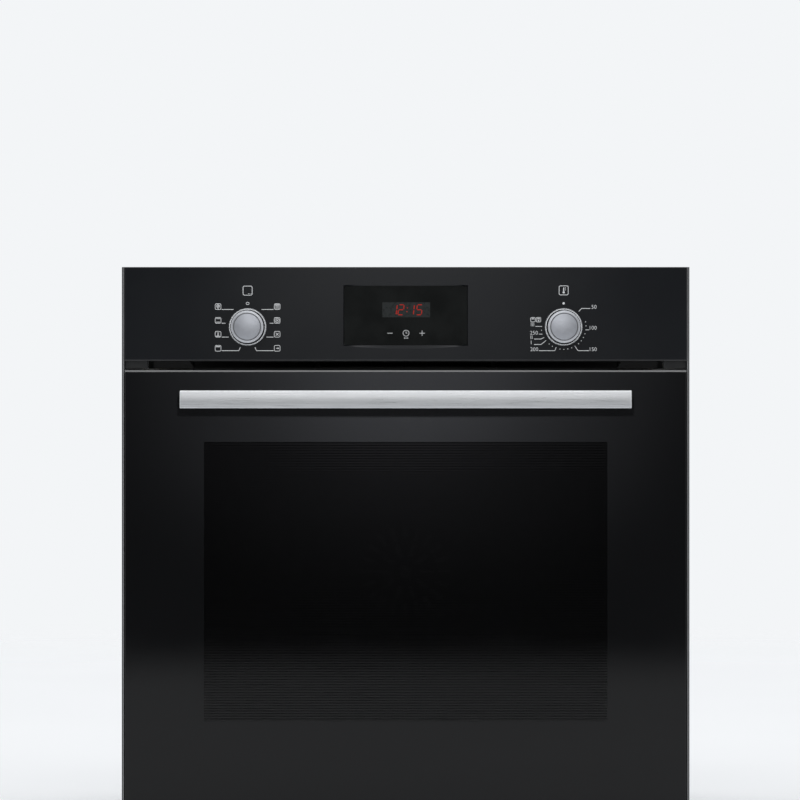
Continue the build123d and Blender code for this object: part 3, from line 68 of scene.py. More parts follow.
class Surface:
    """A Principled material. Its patterns use the object's own coordinates, so they move with it."""

    def __init__(self, name, color, roughness, metallic=0.0, specular=0.5):
        self.material = bpy.data.materials.new(name)
        self.material.use_nodes = True
        self.tree = self.material.node_tree
        self.shader = self.tree.nodes["Principled BSDF"]
        self.coords = self.node("ShaderNodeTexCoord").outputs["Object"]
        self.color = color
        self.roughness = roughness
        self.set("Base Color", (*color, 1.0))
        self.set("Roughness", roughness)
        self.set("Metallic", metallic)
        self.set("Specular IOR Level", specular)

    def node(self, kind, **settings):
        made = self.tree.nodes.new(kind)
        for key, value in settings.items():
            setattr(made, key, value)
        return made

    def set(self, socket, value):
        self.shader.inputs[socket].default_value = value

    def feed(self, socket, source):
        """Joins a number or a node's output to an input."""
        if isinstance(source, (int, float)):
            socket.default_value = source
        else:
            self.tree.links.new(source, socket)

    def math(self, operation, *values):
        made = self.node("ShaderNodeMath", operation=operation)
        for socket, value in zip(made.inputs, values):
            self.feed(socket, value)
        return made.outputs[0]

    def axes(self):
        """The X, Y and Z of the surface's own coordinates."""
        split = self.node("ShaderNodeSeparateXYZ")
        self.tree.links.new(self.coords, split.inputs[0])
        return split.outputs[0], split.outputs[1], split.outputs[2]

    def length(self, across, up):
        """Length of the two numbers taken as the sides of a right angle."""
        squares = [self.math("MULTIPLY", side, side) for side in (across, up)]
        return self.math("SQRT", self.math("ADD", *squares))

    def knob_radius(self):
        """Distance from a knob's axis, which runs along Y. The same for both knobs."""
        low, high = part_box(KNOB)
        x, _, z = self.axes()
        off_x = self.math("SUBTRACT", self.math("ABSOLUTE", x), (low.x + high.x) / 2)
        off_z = self.math("SUBTRACT", z, (low.z + high.z) / 2)
        return self.length(off_x, off_z)

    def stretched(self, scale):
        """Coordinates scaled by three numbers, for grain that runs one way."""
        mapping = self.node("ShaderNodeMapping")
        mapping.inputs["Scale"].default_value = scale
        self.tree.links.new(self.coords, mapping.inputs["Vector"])
        return mapping.outputs[0]

    def noise(self, scale, stretch=(1, 1, 1), detail=3.0):
        made = self.node("ShaderNodeTexNoise")
        made.inputs["Scale"].default_value = scale
        made.inputs["Detail"].default_value = detail
        self.tree.links.new(self.stretched(stretch), made.inputs["Vector"])
        return made.outputs[0]

    def cells(self, scale, output="Distance", stretch=(1, 1, 1)):
        made = self.node("ShaderNodeTexVoronoi")
        made.inputs["Scale"].default_value = scale
        self.tree.links.new(self.stretched(stretch), made.inputs["Vector"])
        return made.outputs[output]

    def span(self, value, low, high, to_low=0.0, to_high=1.0):
        """The value moved smoothly from one range to another, and held at its ends."""
        made = self.node("ShaderNodeMapRange", interpolation_type="SMOOTHSTEP")
        for index, source in enumerate((value, low, high, to_low, to_high)):
            self.feed(made.inputs[index], source)
        return made.outputs[0]

    def mix(self, factor, first, second):
        """A colour between two, each a colour or a node's output."""
        made = self.node("ShaderNodeMix", data_type="RGBA")
        self.feed(made.inputs[0], factor)
        for socket, source in ((made.inputs[6], first), (made.inputs[7], second)):
            if isinstance(source, tuple):
                socket.default_value = (*source, 1.0)
            else:
                self.tree.links.new(source, socket)
        return made.outputs[2]

    def paint(self, color):
        self.tree.links.new(color, self.shader.inputs["Base Color"])

    def shine(self, factor, gloss):
        """Shifts the roughness by a pattern, as far either way as gloss says."""
        rough = self.span(factor, 0.3, 0.7, self.roughness - gloss, self.roughness + gloss)
        self.tree.links.new(rough, self.shader.inputs["Roughness"])

    def vary(self, factor, amount=0.12, gloss=0.04):
        """Lightens and darkens the colour and shifts the gloss by a pattern."""
        low = tuple(c * (1 - amount) for c in self.color)
        high = tuple(min(1.0, c * (1 + amount)) for c in self.color)
        self.paint(self.mix(self.span(factor, 0.3, 0.7), low, high))
        self.shine(factor, gloss)

    def bump(self, height, depth, strength=1.0):
        """Relief of a height pattern. Depth is in metres."""
        made = self.node("ShaderNodeBump")
        made.inputs["Strength"].default_value = strength
        made.inputs["Distance"].default_value = depth
        self.tree.links.new(height, made.inputs["Height"])
        earlier = self.shader.inputs["Normal"].links
        if earlier:
            self.tree.links.new(earlier[0].from_socket, made.inputs["Normal"])
        self.tree.links.new(made.outputs[0], self.shader.inputs["Normal"])


def moulded(name, color, roughness):
    """Moulded plastic: fine spark texture, and a slow drift of colour and gloss."""
    surface = Surface(name, color, roughness, specular=0.4)
    surface.vary(surface.noise(22.0, detail=5.0), amount=0.14, gloss=0.05)
    surface.bump(surface.noise(900.0, detail=2.0), 0.00004)
    return surface


def painted(name, color, roughness):
    """Powder coat: orange peel over a fine grain."""
    surface = Surface(name, color, roughness)
    surface.vary(surface.noise(30.0, detail=4.0), amount=0.12, gloss=0.05)
    surface.bump(surface.noise(420.0, detail=1.5), 0.00005)
    surface.bump(surface.noise(1800.0, detail=1.0), 0.00001)
    return surface


def brushed(name, color, along, roughness, amount=0.05, grain=2200.0):
    """Metal brushed along one axis: long faint scratches that also break up the gloss."""
    surface = Surface(name, color, roughness, metallic=1.0)
    stretch = tuple(0.012 if axis == along else 1.0 for axis in range(3))
    scratches = surface.noise(grain, stretch=stretch, detail=4.0)
    surface.vary(scratches, amount=amount, gloss=0.05)
    surface.bump(scratches, 0.000004)
    return surface


def plated(name, color, roughness):
    """Zinc-plated steel: cloudy, with a faint yellow passivation."""
    surface = Surface(name, color, roughness, metallic=1.0)
    clouds = surface.noise(55.0, detail=6.0)
    stain = surface.span(surface.noise(21.0, detail=3.0), 0.48, 0.72, 0.0, 0.45)
    shade = surface.mix(surface.span(clouds, 0.3, 0.7), tuple(c * 0.82 for c in color), color)
    surface.paint(surface.mix(stain, shade, (0.62, 0.56, 0.42)))
    rough = surface.span(clouds, 0.3, 0.7, roughness - 0.07, roughness + 0.1)
    surface.tree.links.new(rough, surface.shader.inputs["Roughness"])
    surface.bump(surface.noise(700.0, detail=2.0), 0.00001)
    return surface


# ---- the control panel and what is on it ----

def black_fascia():
    """Satin black coat with a painted highlight along its lower edge, standing in for the floor's
    reflection in its rounded edge.
    """
    surface = Surface("black_fascia", (0.0068, 0.0080, 0.0104), 0.31, specular=0.42)
    drift = surface.noise(14.0, detail=4.0)
    surface.shine(drift, 0.015)
    _, _, z = surface.axes()
    edge_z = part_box("control_panel")[0].z
    body = surface.mix(drift, (0.0062, 0.0074, 0.0096), (0.0072, 0.0085, 0.0108))
    # painted highlight: the lower edge is painted paler where its rounded edge would reflect the floor
    painted_edge_highlight = surface.span(z, edge_z + 0.6 * MM, edge_z + 1.4 * MM)
    surface.paint(surface.mix(painted_edge_highlight, (0.055, 0.056, 0.058), body))
    surface.bump(surface.noise(1500.0, detail=2.0), 0.000012)
    return surface


def display_glass():
    surface = Surface("display_glass", (0.0125, 0.0135, 0.0132), 0.12, specular=0.35)
    surface.vary(surface.noise(40.0, detail=5.0), amount=0.2, gloss=0.03)
    return surface


GROOVE_R = 14.1 * MM  # middle of the groove about the knob's face
RIM_R = 16.7 * MM  # where the painted shade at the knob's outer edge begins
BORE_R = 17.9 * MM  # the ring's bore, which the knob slides in
TURNING_PITCH = 0.22 * MM


def knob_silver():
    """Satin silver turned in faint rings, with painted shade in the groove about the face and at the
    rim's edge, and a painted highlight on the ring outside the groove.
    """
    silver = (0.58, 0.60, 0.65)
    surface = Surface("knob_silver", silver, 0.34, metallic=1.0)
    radius = surface.knob_radius()
    rings = surface.math("SINE", surface.math("MULTIPLY", radius, 2 * math.pi / TURNING_PITCH))
    both = surface.math("ADD", surface.math("MULTIPLY", rings, 0.09), surface.noise(260.0, detail=3.0))
    surface.shine(both, 0.03)
    turned = surface.mix(surface.span(both, 0.3, 0.7), tuple(c * 0.96 for c in silver), silver)
    # painted shade: the groove about the face and the edge of the rim are painted dark (lit is 0 there),
    # where shade falls
    off_groove = surface.math("ABSOLUTE", surface.math("SUBTRACT", radius, GROOVE_R))
    beside_groove = surface.span(off_groove, 0.3 * MM, 0.6 * MM)
    inside_rim = surface.span(radius, RIM_R, RIM_R + 0.3 * MM, 1.0, 0.0)
    lit = surface.math("MULTIPLY", beside_groove, inside_rim)
    # painted highlight: the ring outside the groove is painted brighter, where its rounded shoulder would
    # catch the light
    painted_ring_highlight = surface.span(radius, GROOVE_R + 0.3 * MM, GROOVE_R + 0.7 * MM)
    face = surface.mix(surface.math("MULTIPLY", painted_ring_highlight, 0.6), turned, (0.86, 0.88, 0.92))
    surface.paint(surface.mix(lit, (0.23, 0.235, 0.25), face))
    surface.bump(both, 0.000002)
    return surface


def knob_ring():
    """Bright plated ring, with painted shade in the bore that the knob slides in."""
    surface = Surface("knob_ring", (0.84, 0.86, 0.89), 0.26, metallic=1.0)
    mottle = surface.noise(300.0, detail=4.0)
    surface.shine(mottle, 0.05)
    ring = surface.mix(mottle, (0.80, 0.82, 0.85), (0.86, 0.88, 0.91))
    # painted shade: the bore that the knob sits in is painted dark
    bore = surface.span(surface.knob_radius(), BORE_R, BORE_R + 0.4 * MM, 1.0, 0.0)
    surface.paint(surface.mix(bore, ring, (0.12, 0.12, 0.13)))
    surface.bump(surface.noise(1400.0), 0.000002)
    return surface


def trim_grey():
    """Grey anodised edge strip, brushed upwards, with painted shade along its outer corner where the
    rounded edge turns from the light.
    """
    surface = brushed("trim_grey", grey(0.30, 0.01), 2, roughness=0.42, amount=0.08)
    x, _, _ = surface.axes()
    outer_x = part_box("side_trim_right")[1].x
    # painted shade: the outer corner is painted dark where the rounded edge turns away from the light
    corner = surface.span(surface.math("ABSOLUTE", x), outer_x - 1.3 * MM, outer_x - 0.8 * MM)
    streaks = surface.noise(900.0, stretch=(1, 1, 0.02))
    strip = surface.mix(streaks, (0.27, 0.275, 0.28), (0.33, 0.335, 0.34))
    surface.paint(surface.mix(corner, strip, (0.085, 0.088, 0.092)))
    return surface


def circuit_board():
    """Green lacquer on the board itself, with tracks, and dark cases on the parts behind it."""
    surface = Surface("circuit_board", (0.02, 0.12, 0.045), 0.35)
    _, y, _ = surface.axes()
    board_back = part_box("control_board")[0].y + 1.65 * MM
    behind = surface.math("GREATER_THAN", y, board_back)
    tracks = surface.math("LESS_THAN", surface.cells(170.0, stretch=(1, 0.01, 2.3)), 0.22)
    board = surface.mix(tracks, (0.02, 0.12, 0.045), (0.035, 0.2, 0.075))
    case = surface.mix(surface.cells(30.0, "Color"), (0.02, 0.02, 0.025), (0.09, 0.08, 0.06))
    surface.paint(surface.mix(behind, board, case))
    surface.bump(surface.noise(600.0), 0.00003)
    return surface


# ---- glass ----

WINDOW_HALF_W = 211 * MM
WINDOW_LOW_Z = 120 * MM
WINDOW_HIGH_Z = 412 * MM
STRIPE_PITCH = 2.75 * MM
EDGE_SOFT = 0.4 * MM


def black_glass():
    """Float glass printed black, with a finely striped see-through window in its middle."""
    ink = (0.0062, 0.0064, 0.0070)
    surface = Surface("black_glass", ink, 0.05, specular=0.3)
    x, _, z = surface.axes()
    half_h = (WINDOW_HIGH_Z - WINDOW_LOW_Z) / 2
    off_x = surface.math("ABSOLUTE", x)
    off_z = surface.math("ABSOLUTE", surface.math("SUBTRACT", z, WINDOW_LOW_Z + half_h))
    in_x = surface.span(off_x, WINDOW_HALF_W - EDGE_SOFT, WINDOW_HALF_W + EDGE_SOFT, 1.0, 0.0)
    in_z = surface.span(off_z, half_h - EDGE_SOFT, half_h + EDGE_SOFT, 1.0, 0.0)
    window = surface.math("MULTIPLY", in_x, in_z)
    phase = surface.math("PINGPONG", z, STRIPE_PITCH / 2)
    clear = surface.span(phase, STRIPE_PITCH * 0.17, STRIPE_PITCH * 0.27)
    gap = surface.math("MULTIPLY", window, clear)
    drift = surface.noise(9.0, detail=3.0)
    printed = surface.mix(surface.span(drift, 0.3, 0.7), tuple(c * 0.94 for c in ink), ink)
    striped = surface.mix(clear, (0.0030, 0.0030, 0.0033), (0.0010, 0.0010, 0.0011))
    surface.paint(surface.mix(window, printed, striped))
    surface.feed(surface.shader.inputs["Alpha"], surface.span(gap, 0.0, 1.0, 1.0, 0.62))
    smears = surface.noise(16.0, stretch=(1, 1, 0.5), detail=6.0)
    surface.feed(surface.shader.inputs["Roughness"], surface.span(smears, 0.35, 0.75, 0.04, 0.06))
    return surface


def clear_glass():
    """A heat-reflecting pane: nearly clear, with a greenish edge and a film of dust."""
    surface = Surface("clear_glass", (0.30, 0.34, 0.33), 0.04)
    dust = surface.noise(60.0, detail=8.0)
    surface.feed(surface.shader.inputs["Alpha"], surface.span(dust, 0.35, 0.8, 0.10, 0.17))
    surface.feed(surface.shader.inputs["Roughness"], surface.span(dust, 0.35, 0.8, 0.03, 0.12))
    return surface


def lamp_glass(name, alpha):
    surface = Surface(name, (0.75, 0.78, 0.78), 0.05)
    swirl = surface.noise(120.0, detail=2.0)
    surface.feed(surface.shader.inputs["Alpha"], surface.span(swirl, 0.3, 0.7, alpha, alpha + 0.12))
    surface.bump(swirl, 0.0004)
    return surface


# ---- the cavity ----

def enamel():
    """Dark vitreous enamel with fine pale flecks under a glossy, slightly wavy skin."""
    surface = Surface("enamel", (0.016, 0.017, 0.021), 0.16, specular=0.6)
    fleck = surface.math("LESS_THAN", surface.cells(620.0), 0.17)
    dither = surface.math("GREATER_THAN", surface.noise(210.0, detail=2.0), 0.5)
    shade = surface.mix(surface.noise(12.0, detail=4.0), (0.012, 0.013, 0.016), (0.022, 0.024, 0.029))
    surface.paint(surface.mix(surface.math("MULTIPLY", fleck, dither), shade, (0.22, 0.23, 0.25)))
    surface.bump(surface.noise(70.0, detail=2.0), 0.0002, 0.6)
    return surface


def chrome_wire():
    surface = Surface("chrome_wire", (0.72, 0.72, 0.71), 0.16, metallic=1.0)
    surface.vary(surface.noise(160.0, detail=5.0), amount=0.06, gloss=0.06)
    surface.bump(surface.noise(500.0), 0.00001)
    return surface


def element_steel():
    """Heating tube, browned and blued by heat in slow bands, with a dull oxide skin."""
    surface = Surface("element_steel", (0.10, 0.09, 0.08), 0.42, metallic=0.85)
    bands = surface.noise(14.0, detail=2.0)
    skin = surface.noise(380.0, detail=5.0)
    warm = surface.mix(surface.span(bands, 0.35, 0.65), (0.13, 0.085, 0.055), (0.07, 0.075, 0.10))
    surface.paint(surface.mix(surface.span(skin, 0.45, 0.75, 0.0, 0.6), warm, (0.035, 0.033, 0.032)))
    surface.bump(skin, 0.00005)
    return surface


def seal_rubber():
    """Heat-proof loop seal with a braided skin."""
    surface = Surface("seal_rubber", (0.045, 0.044, 0.042), 0.75, specular=0.25)
    braid = surface.cells(620.0)
    surface.vary(braid, amount=0.35, gloss=0.08)
    surface.bump(braid, 0.0003, 0.7)
    return surface


def mineral_wool():
    """Yellow-brown fibres in two directions, matted and uneven."""
    surface = Surface("mineral_wool", (0.52, 0.42, 0.22), 0.95, specular=0.1)
    across = surface.noise(900.0, stretch=(0.06, 1, 1), detail=5.0)
    down = surface.noise(900.0, stretch=(1, 1, 0.07), detail=5.0)
    fibres = surface.math("MAXIMUM", across, down)
    tufts = surface.noise(34.0, detail=6.0)
    shade = surface.mix(surface.span(tufts, 0.3, 0.7), (0.34, 0.25, 0.11), (0.62, 0.53, 0.32))
    surface.paint(surface.mix(surface.span(fibres, 0.5, 0.8), shade, (0.75, 0.68, 0.5)))
    surface.bump(tufts, 0.004, 0.8)
    surface.bump(fibres, 0.0006, 0.7)
    surface.set("Sheen Weight", 0.25)
    return surface


# ---- the casing and what is behind it ----

def galvanised_steel():
    """Zinc-coated sheet: spangle in large crystals, each with its own shade and gloss."""
    surface = Surface("galvanised_steel", (0.55, 0.56, 0.57), 0.42, metallic=1.0)
    crystal = surface.cells(75.0, "Color")
    split = surface.node("ShaderNodeSeparateColor")
    surface.tree.links.new(crystal, split.inputs[0])
    shade = surface.mix(split.outputs[0], (0.49, 0.50, 0.515), (0.59, 0.60, 0.61))
    marks = surface.noise(900.0, stretch=(1, 1, 0.03), detail=3.0)
    surface.paint(surface.mix(surface.span(marks, 0.4, 0.8, 0.0, 0.35), shade, (0.7, 0.7, 0.71)))
    surface.feed(surface.shader.inputs["Roughness"], surface.span(split.outputs[1], 0.0, 1.0, 0.38, 0.48))
    surface.bump(surface.noise(8.0, detail=1.0), 0.003, 0.35)
    return surface


def fan_aluminium():
    surface = Surface("fan_aluminium", (0.6, 0.6, 0.61), 0.38, metallic=1.0)
    surface.vary(surface.noise(90.0, detail=6.0), amount=0.1, gloss=0.08)
    surface.bump(surface.noise(800.0), 0.00001)
    return surface


def motor_steel():
    """Plated can with the edges of its stacked laminations."""
    surface = Surface("motor_steel", (0.36, 0.36, 0.35), 0.4, metallic=1.0)
    _, y, _ = surface.axes()
    plates = surface.math("PINGPONG", y, 0.35 * MM)
    drift = surface.noise(45.0, detail=5.0)
    surface.vary(drift, amount=0.18, gloss=0.08)
    surface.bump(plates, 0.0002, 0.5)
    return surface


def ceramic():
    surface = Surface("ceramic", (0.78, 0.75, 0.68), 0.7, specular=0.3)
    specks = surface.math("LESS_THAN", surface.cells(900.0), 0.14)
    shade = surface.mix(surface.noise(40.0, detail=5.0), (0.7, 0.67, 0.59), (0.83, 0.8, 0.74))
    surface.paint(surface.mix(specks, shade, (0.5, 0.45, 0.37)))
    surface.bump(surface.noise(700.0, detail=3.0), 0.00006)
    return surface


def screen_print():
    """Pale grey panel print, slightly mottled like ink, with a faint painted glow."""
    surface = Surface("screen_print", (0.74, 0.745, 0.75), 0.6, specular=0.2)
    surface.vary(surface.noise(1500.0, detail=3.0), amount=0.12, gloss=0.05)
    # painted glow: the print gives off a little light of its own, though it is no lamp
    surface.set("Emission Color", (0.9, 0.93, 0.96, 1.0))
    surface.set("Emission Strength", 0.16)
    return surface


def clock_window():
    surface = Surface("clock_window", (0.026, 0.028, 0.028), 0.3, specular=0.3)
    surface.vary(surface.noise(300.0, detail=3.0), amount=0.1, gloss=0.04)
    # painted glow: the window gives off a faint cool light of its own, which lightens it
    surface.set("Emission Color", (0.30, 0.36, 0.36, 1.0))
    surface.set("Emission Strength", 0.015)
    return surface


def clock_red():
    """Lit red segments, a little uneven like diodes behind a diffuser."""
    surface = Surface("clock_red", (0.25, 0.01, 0.008), 0.4, specular=0.2)
    glow = surface.noise(700.0, detail=1.0)
    red = surface.mix(surface.span(glow, 0.3, 0.7), (1.0, 0.045, 0.03), (1.0, 0.11, 0.06))
    surface.tree.links.new(red, surface.shader.inputs["Emission Color"])
    surface.set("Emission Strength", 0.20)
    return surface


SURFACES = {
    "black_fascia": black_fascia(),
    "display_glass": display_glass(),
    "module_plastic": moulded("module_plastic", grey(0.022), 0.55),
    "circuit_board": circuit_board(),
    "knob_ring": knob_ring(),
    "knob_silver": knob_silver(),
    "plated_steel": plated("plated_steel", grey(0.58), 0.34),
    "switch_plastic": moulded("switch_plastic", (0.70, 0.67, 0.58), 0.5),
    "galvanised_steel": galvanised_steel(),
    "trim_grey": trim_grey(),
    "corner_plastic": moulded("corner_plastic", grey(0.030, 0.03), 0.5),
    "outlet_plastic": moulded("outlet_plastic", grey(0.006), 0.6),
    "black_steel": painted("black_steel", grey(0.014), 0.45),
    "gland_plastic": moulded("gland_plastic", grey(0.04), 0.45),
    "enamel": enamel(),
    "seal_rubber": seal_rubber(),
    "mineral_wool": mineral_wool(),
    "chrome_wire": chrome_wire(),
    "element_steel": element_steel(),
    "fan_aluminium": fan_aluminium(),
    "motor_steel": motor_steel(),
    "lamp_glass": lamp_glass("lamp_glass", 0.30),
    "bulb_glass": lamp_glass("bulb_glass", 0.45),
    "ceramic": ceramic(),
    "hinge_steel": plated("hinge_steel", grey(0.45), 0.38),
    "spring_steel": brushed("spring_steel", grey(0.28, 0.02), 2, roughness=0.32, grain=700.0),
    "black_glass": black_glass(),
    "clear_glass": clear_glass(),
    "trim_aluminium": brushed("trim_aluminium", grey(0.34, 0.01), 0, roughness=0.4),
    "brushed_handle": brushed("brushed_handle", (0.77, 0.785, 0.805), 0, roughness=0.32, amount=0.06),
    "post_metal": painted("post_metal", grey(0.16, 0.02), 0.45),
}

PAINTED_SHADE_BEHIND_SLOT = ("blower_housing", "blower_drum")  # painted black as painted shade, so the air slot above the door looks dark, in place of their own finish

for entry in frame["record"]["subparts"]:
    name = entry["node"]
    # the two parts behind the air slot get black paint as painted shade
    finish = "black_steel" if name in PAINTED_SHADE_BEHIND_SLOT else entry["material_slot"]
    nodes[name].material_slots[0].material = SURFACES[finish].material


# ------------------------------------------------------------------ print on the panel

INK_T = 0.05 * MM  # how far the ink stands out of its face
INK_SINK = 0.02 * MM  # and how far it reaches into it
LINE_W = 0.62
CAPITAL_H = 0.70  # height of a figure in the built-in font of size 1
SLIMMER = 0.06  # how far each figure's outline is drawn in


class Print:
    """Flat ink and glowing shapes on an upright face, drawn in millimetres about a centre."""

    def __init__(self, name, x, z, face_y):
        self.name = name
        self.x = x
        self.z = z
        self.face_y = face_y
        self.mesh = bmesh.new()

    def corner(self, point, y):
        return self.mesh.verts.new((self.x + point[0] * MM, y, self.z + point[1] * MM))

    def slab(self, outline):
        """Closed thin plate with the given outline, which runs anticlockwise as seen."""
        front = [self.corner(p, self.face_y - INK_T) for p in outline]
        back = [self.corner(p, self.face_y + INK_SINK) for p in outline]
        self.mesh.faces.new(front)
        self.mesh.faces.new(back[::-1])
        for i, vert in enumerate(front):
            j = (i + 1) % len(front)
            self.mesh.faces.new((front[j], vert, back[i], back[j]))

    def line(self, points, width=LINE_W, closed=False):
        """Line of even width with mitred corners."""
        count = len(points)
        sides = []
        for i, (px, pz) in enumerate(points):
            before = points[i - 1] if closed or i > 0 else None
            after = points[(i + 1) % count] if closed or i < count - 1 else None
            steps = []
            if before:
                steps.append(Vector((px - before[0], pz - before[1])).normalized())
            if after:
                steps.append(Vector((after[0] - px, after[1] - pz)).normalized())
            along = sum(steps, Vector((0.0, 0.0))).normalized()
            reach = width / 2 / max(0.4, along.dot(steps[0]))
            sides.append(((px - along.y * reach, pz + along.x * reach),
                          (px + along.y * reach, pz - along.x * reach)))
        left_front = [self.corner(s[0], self.face_y - INK_T) for s in sides]
        right_front = [self.corner(s[1], self.face_y - INK_T) for s in sides]
        left_back = [self.corner(s[0], self.face_y + INK_SINK) for s in sides]
        right_back = [self.corner(s[1], self.face_y + INK_SINK) for s in sides]
        for i in range(count if closed else count - 1):
            j = (i + 1) % count
            for quad in (
                (left_front[i], right_front[i], right_front[j], left_front[j]),
                (left_back[j], right_back[j], right_back[i], left_back[i]),
                (left_front[j], left_back[j], left_back[i], left_front[i]),
                (right_front[i], right_back[i], right_back[j], right_front[j]),
            ):
                self.mesh.faces.new(quad)
        if not closed:
            self.mesh.faces.new((left_front[0], left_back[0], right_back[0], right_front[0]))
            self.mesh.faces.new((right_front[-1], right_back[-1], left_back[-1], left_front[-1]))

    def text(self, string, x, z, height):
        """Figures with their centre at (x, z)."""
        curve = bpy.data.curves.new("figures", "FONT")
        curve.body = string
        curve.size = height / CAPITAL_H * MM
        curve.align_x = "CENTER"
        curve.align_y = "CENTER"
        curve.offset = -SLIMMER * MM
        curve.extrude = (INK_T + INK_SINK) / 2
        curve.resolution_u = 4
        figures = bpy.data.objects.new("figures", curve)
        bpy.context.scene.collection.objects.link(figures)
        bpy.context.view_layer.update()
        graph = bpy.context.evaluated_depsgraph_get()
        shape = bpy.data.meshes.new_from_object(figures.evaluated_get(graph))
        middle_y = self.face_y + (INK_SINK - INK_T) / 2
        for vert in shape.vertices:
            across, up, out = vert.co
            vert.co = (self.x + x * MM + across, middle_y - out, self.z + z * MM + up)
        self.mesh.from_mesh(shape)
        bpy.data.objects.remove(figures)
        bpy.data.curves.remove(curve)
        bpy.data.meshes.remove(shape)

    def done(self, surface):
        shape = bpy.data.meshes.new(self.name)
        bmesh.ops.recalc_face_normals(self.mesh, faces=self.mesh.faces)
        self.mesh.to_mesh(shape)
        self.mesh.free()
        shape.materials.append(surface.material)
        piece = bpy.data.objects.new(self.name, shape)
        bpy.context.scene.collection.objects.link(piece)
        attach(piece, "oven_body")


def arc(x, z, radius, start=0.0, end=360.0, steps=20):
    """Points on an arc, in degrees anticlockwise from the right. A whole turn leaves out its last."""
    whole = abs(end - start) >= 360
    points = []
    for i in range(steps if whole else steps + 1):
        angle = math.radians(start + (end - start) * i / steps)
        points.append((x + radius * math.cos(angle), z + radius * math.sin(angle)))
    return points


def rounded(x, z, width, height, radius):
    """Outline of a rectangle with round corners, anticlockwise."""
    points = []
    for sx, sz, start in ((1, 1, 0), (-1, 1, 90), (-1, -1, 180), (1, -1, 270)):
        corner_x = x + sx * (width / 2 - radius)
        corner_z = z + sz * (height / 2 - radius)
        points += arc(corner_x, corner_z, radius, start, start + 90, 4)
    return points


def fan_mark(ink, x, z, reach=1.5):
    """Four-bladed fan: two crossed strokes with a hub."""
    ink.line([(x - reach, z - reach), (x + reach, z + reach)], 0.55)
    ink.line([(x - reach, z + reach), (x + reach, z - reach)], 0.55)
    ink.slab(arc(x, z, 0.55, steps=10))


MARK_W = 4.4


def bar(ink, x, z, weight=0.6):
    ink.line([(x - MARK_W / 2, z), (x + MARK_W / 2, z)], weight)


def zigzag(ink, x, z, width=MARK_W, teeth=4, weight=0.5):
    """The grill's mark: an even zigzag."""
    step = width / (2 * teeth)
    points = [(x - width / 2 + i * step, z + (0.55 if i % 2 else -0.55)) for i in range(2 * teeth + 1)]
    ink.line(points, weight)


ICON = 6.0
ICON_X = 30.9
ICON_Z = (21.3, 6.9, -7.6, -22.3)
LEADER_DROP = -3.0


def function_icons(ink):
    """Eight cooking functions beside the left knob, each in a rounded square with its leader."""
    top, upper, lower, bottom = ICON_Z
    for side in (-1, 1):
        for z in ICON_Z:
            ink.line(rounded(side * ICON_X, z, ICON, ICON, 1.3), 0.5, closed=True)
    left, right = -ICON_X, ICON_X
    # left column: fan with a drop, upper and lower heat, fan with lower heat, upper heat
    ink.line(arc(left, top + 0.6, 1.6), 0.5, closed=True)
    fan_mark(ink, left, top + 0.6, 0.8)
    ink.slab(arc(left, top - 2.1, 0.5, steps=10))
    bar(ink, left, upper + 1.8)
    bar(ink, left, upper - 1.8)
    ink.slab([(left - 1.3, lower + 1.7), (left, lower + 0.2), (left + 1.3, lower + 1.7)])
    ink.slab([(left - 1.3, lower - 1.3), (left + 1.3, lower - 1.3), (left, lower + 0.2)])
    bar(ink, left, lower - 2.1)
    bar(ink, left, bottom + 1.7, weight=0.9)
    # right column: grill, grill with fan, fan, and an open door with an arrow
    zigzag(ink, right, top + 1.7)
    for drop in (0.2, -0.9, -2.0):
        bar(ink, right, top + drop, weight=0.35)
    ink.line(arc(right, upper, 2.2), 0.45, closed=True)
    fan_mark(ink, right, upper, 1.1)
    fan_mark(ink, right, lower)
    ink.line([(right - 1.2, bottom), (right + 1.4, bottom)], 0.5)
    ink.slab([(right + 0.6, bottom - 1.1), (right + 2.1, bottom), (right + 0.6, bottom + 1.1)])
    # leaders from each icon towards its place on the knob's ring
    inner = ICON_X - ICON / 2 - 0.8
    for z, reach in ((top, 14.6), (upper, 23.1), (lower, 19.7)):
        for side in (-1, 1):
            ink.line([(side * inner, z + LEADER_DROP), (side * reach, z + LEADER_DROP)])
    low = bottom + LEADER_DROP + 0.5
    for side in (-1, 1):
        ink.line([(side * inner, low), (side * 9.2, low), (side * 7.6, low + 3.7)])


HEAD_MARK = 9.5  # width of the square mark above a dial
DOT_RING_R = 23.4
DOT_START = 13.0
DOT_STEP = 10.25
DOT_STEPS = 19
DOTS_LEFT_OUT = (2, 7, 12, 15, 16, 17)  # where a leader meets the ring


def left_dial(ink):
    """Oven mark, ring for the off place, and the functions."""
    ink.line(rounded(0, 38, HEAD_MARK, HEAD_MARK, 1.6), 0.6, closed=True)
    for x in (0.9, 2.3, 3.7):
        ink.slab(arc(x, 34.7, 0.35, steps=10))
    ink.line(rounded(0, 24.6, 3.0, 2.4, 1.0), 0.5, closed=True)
    function_icons(ink)


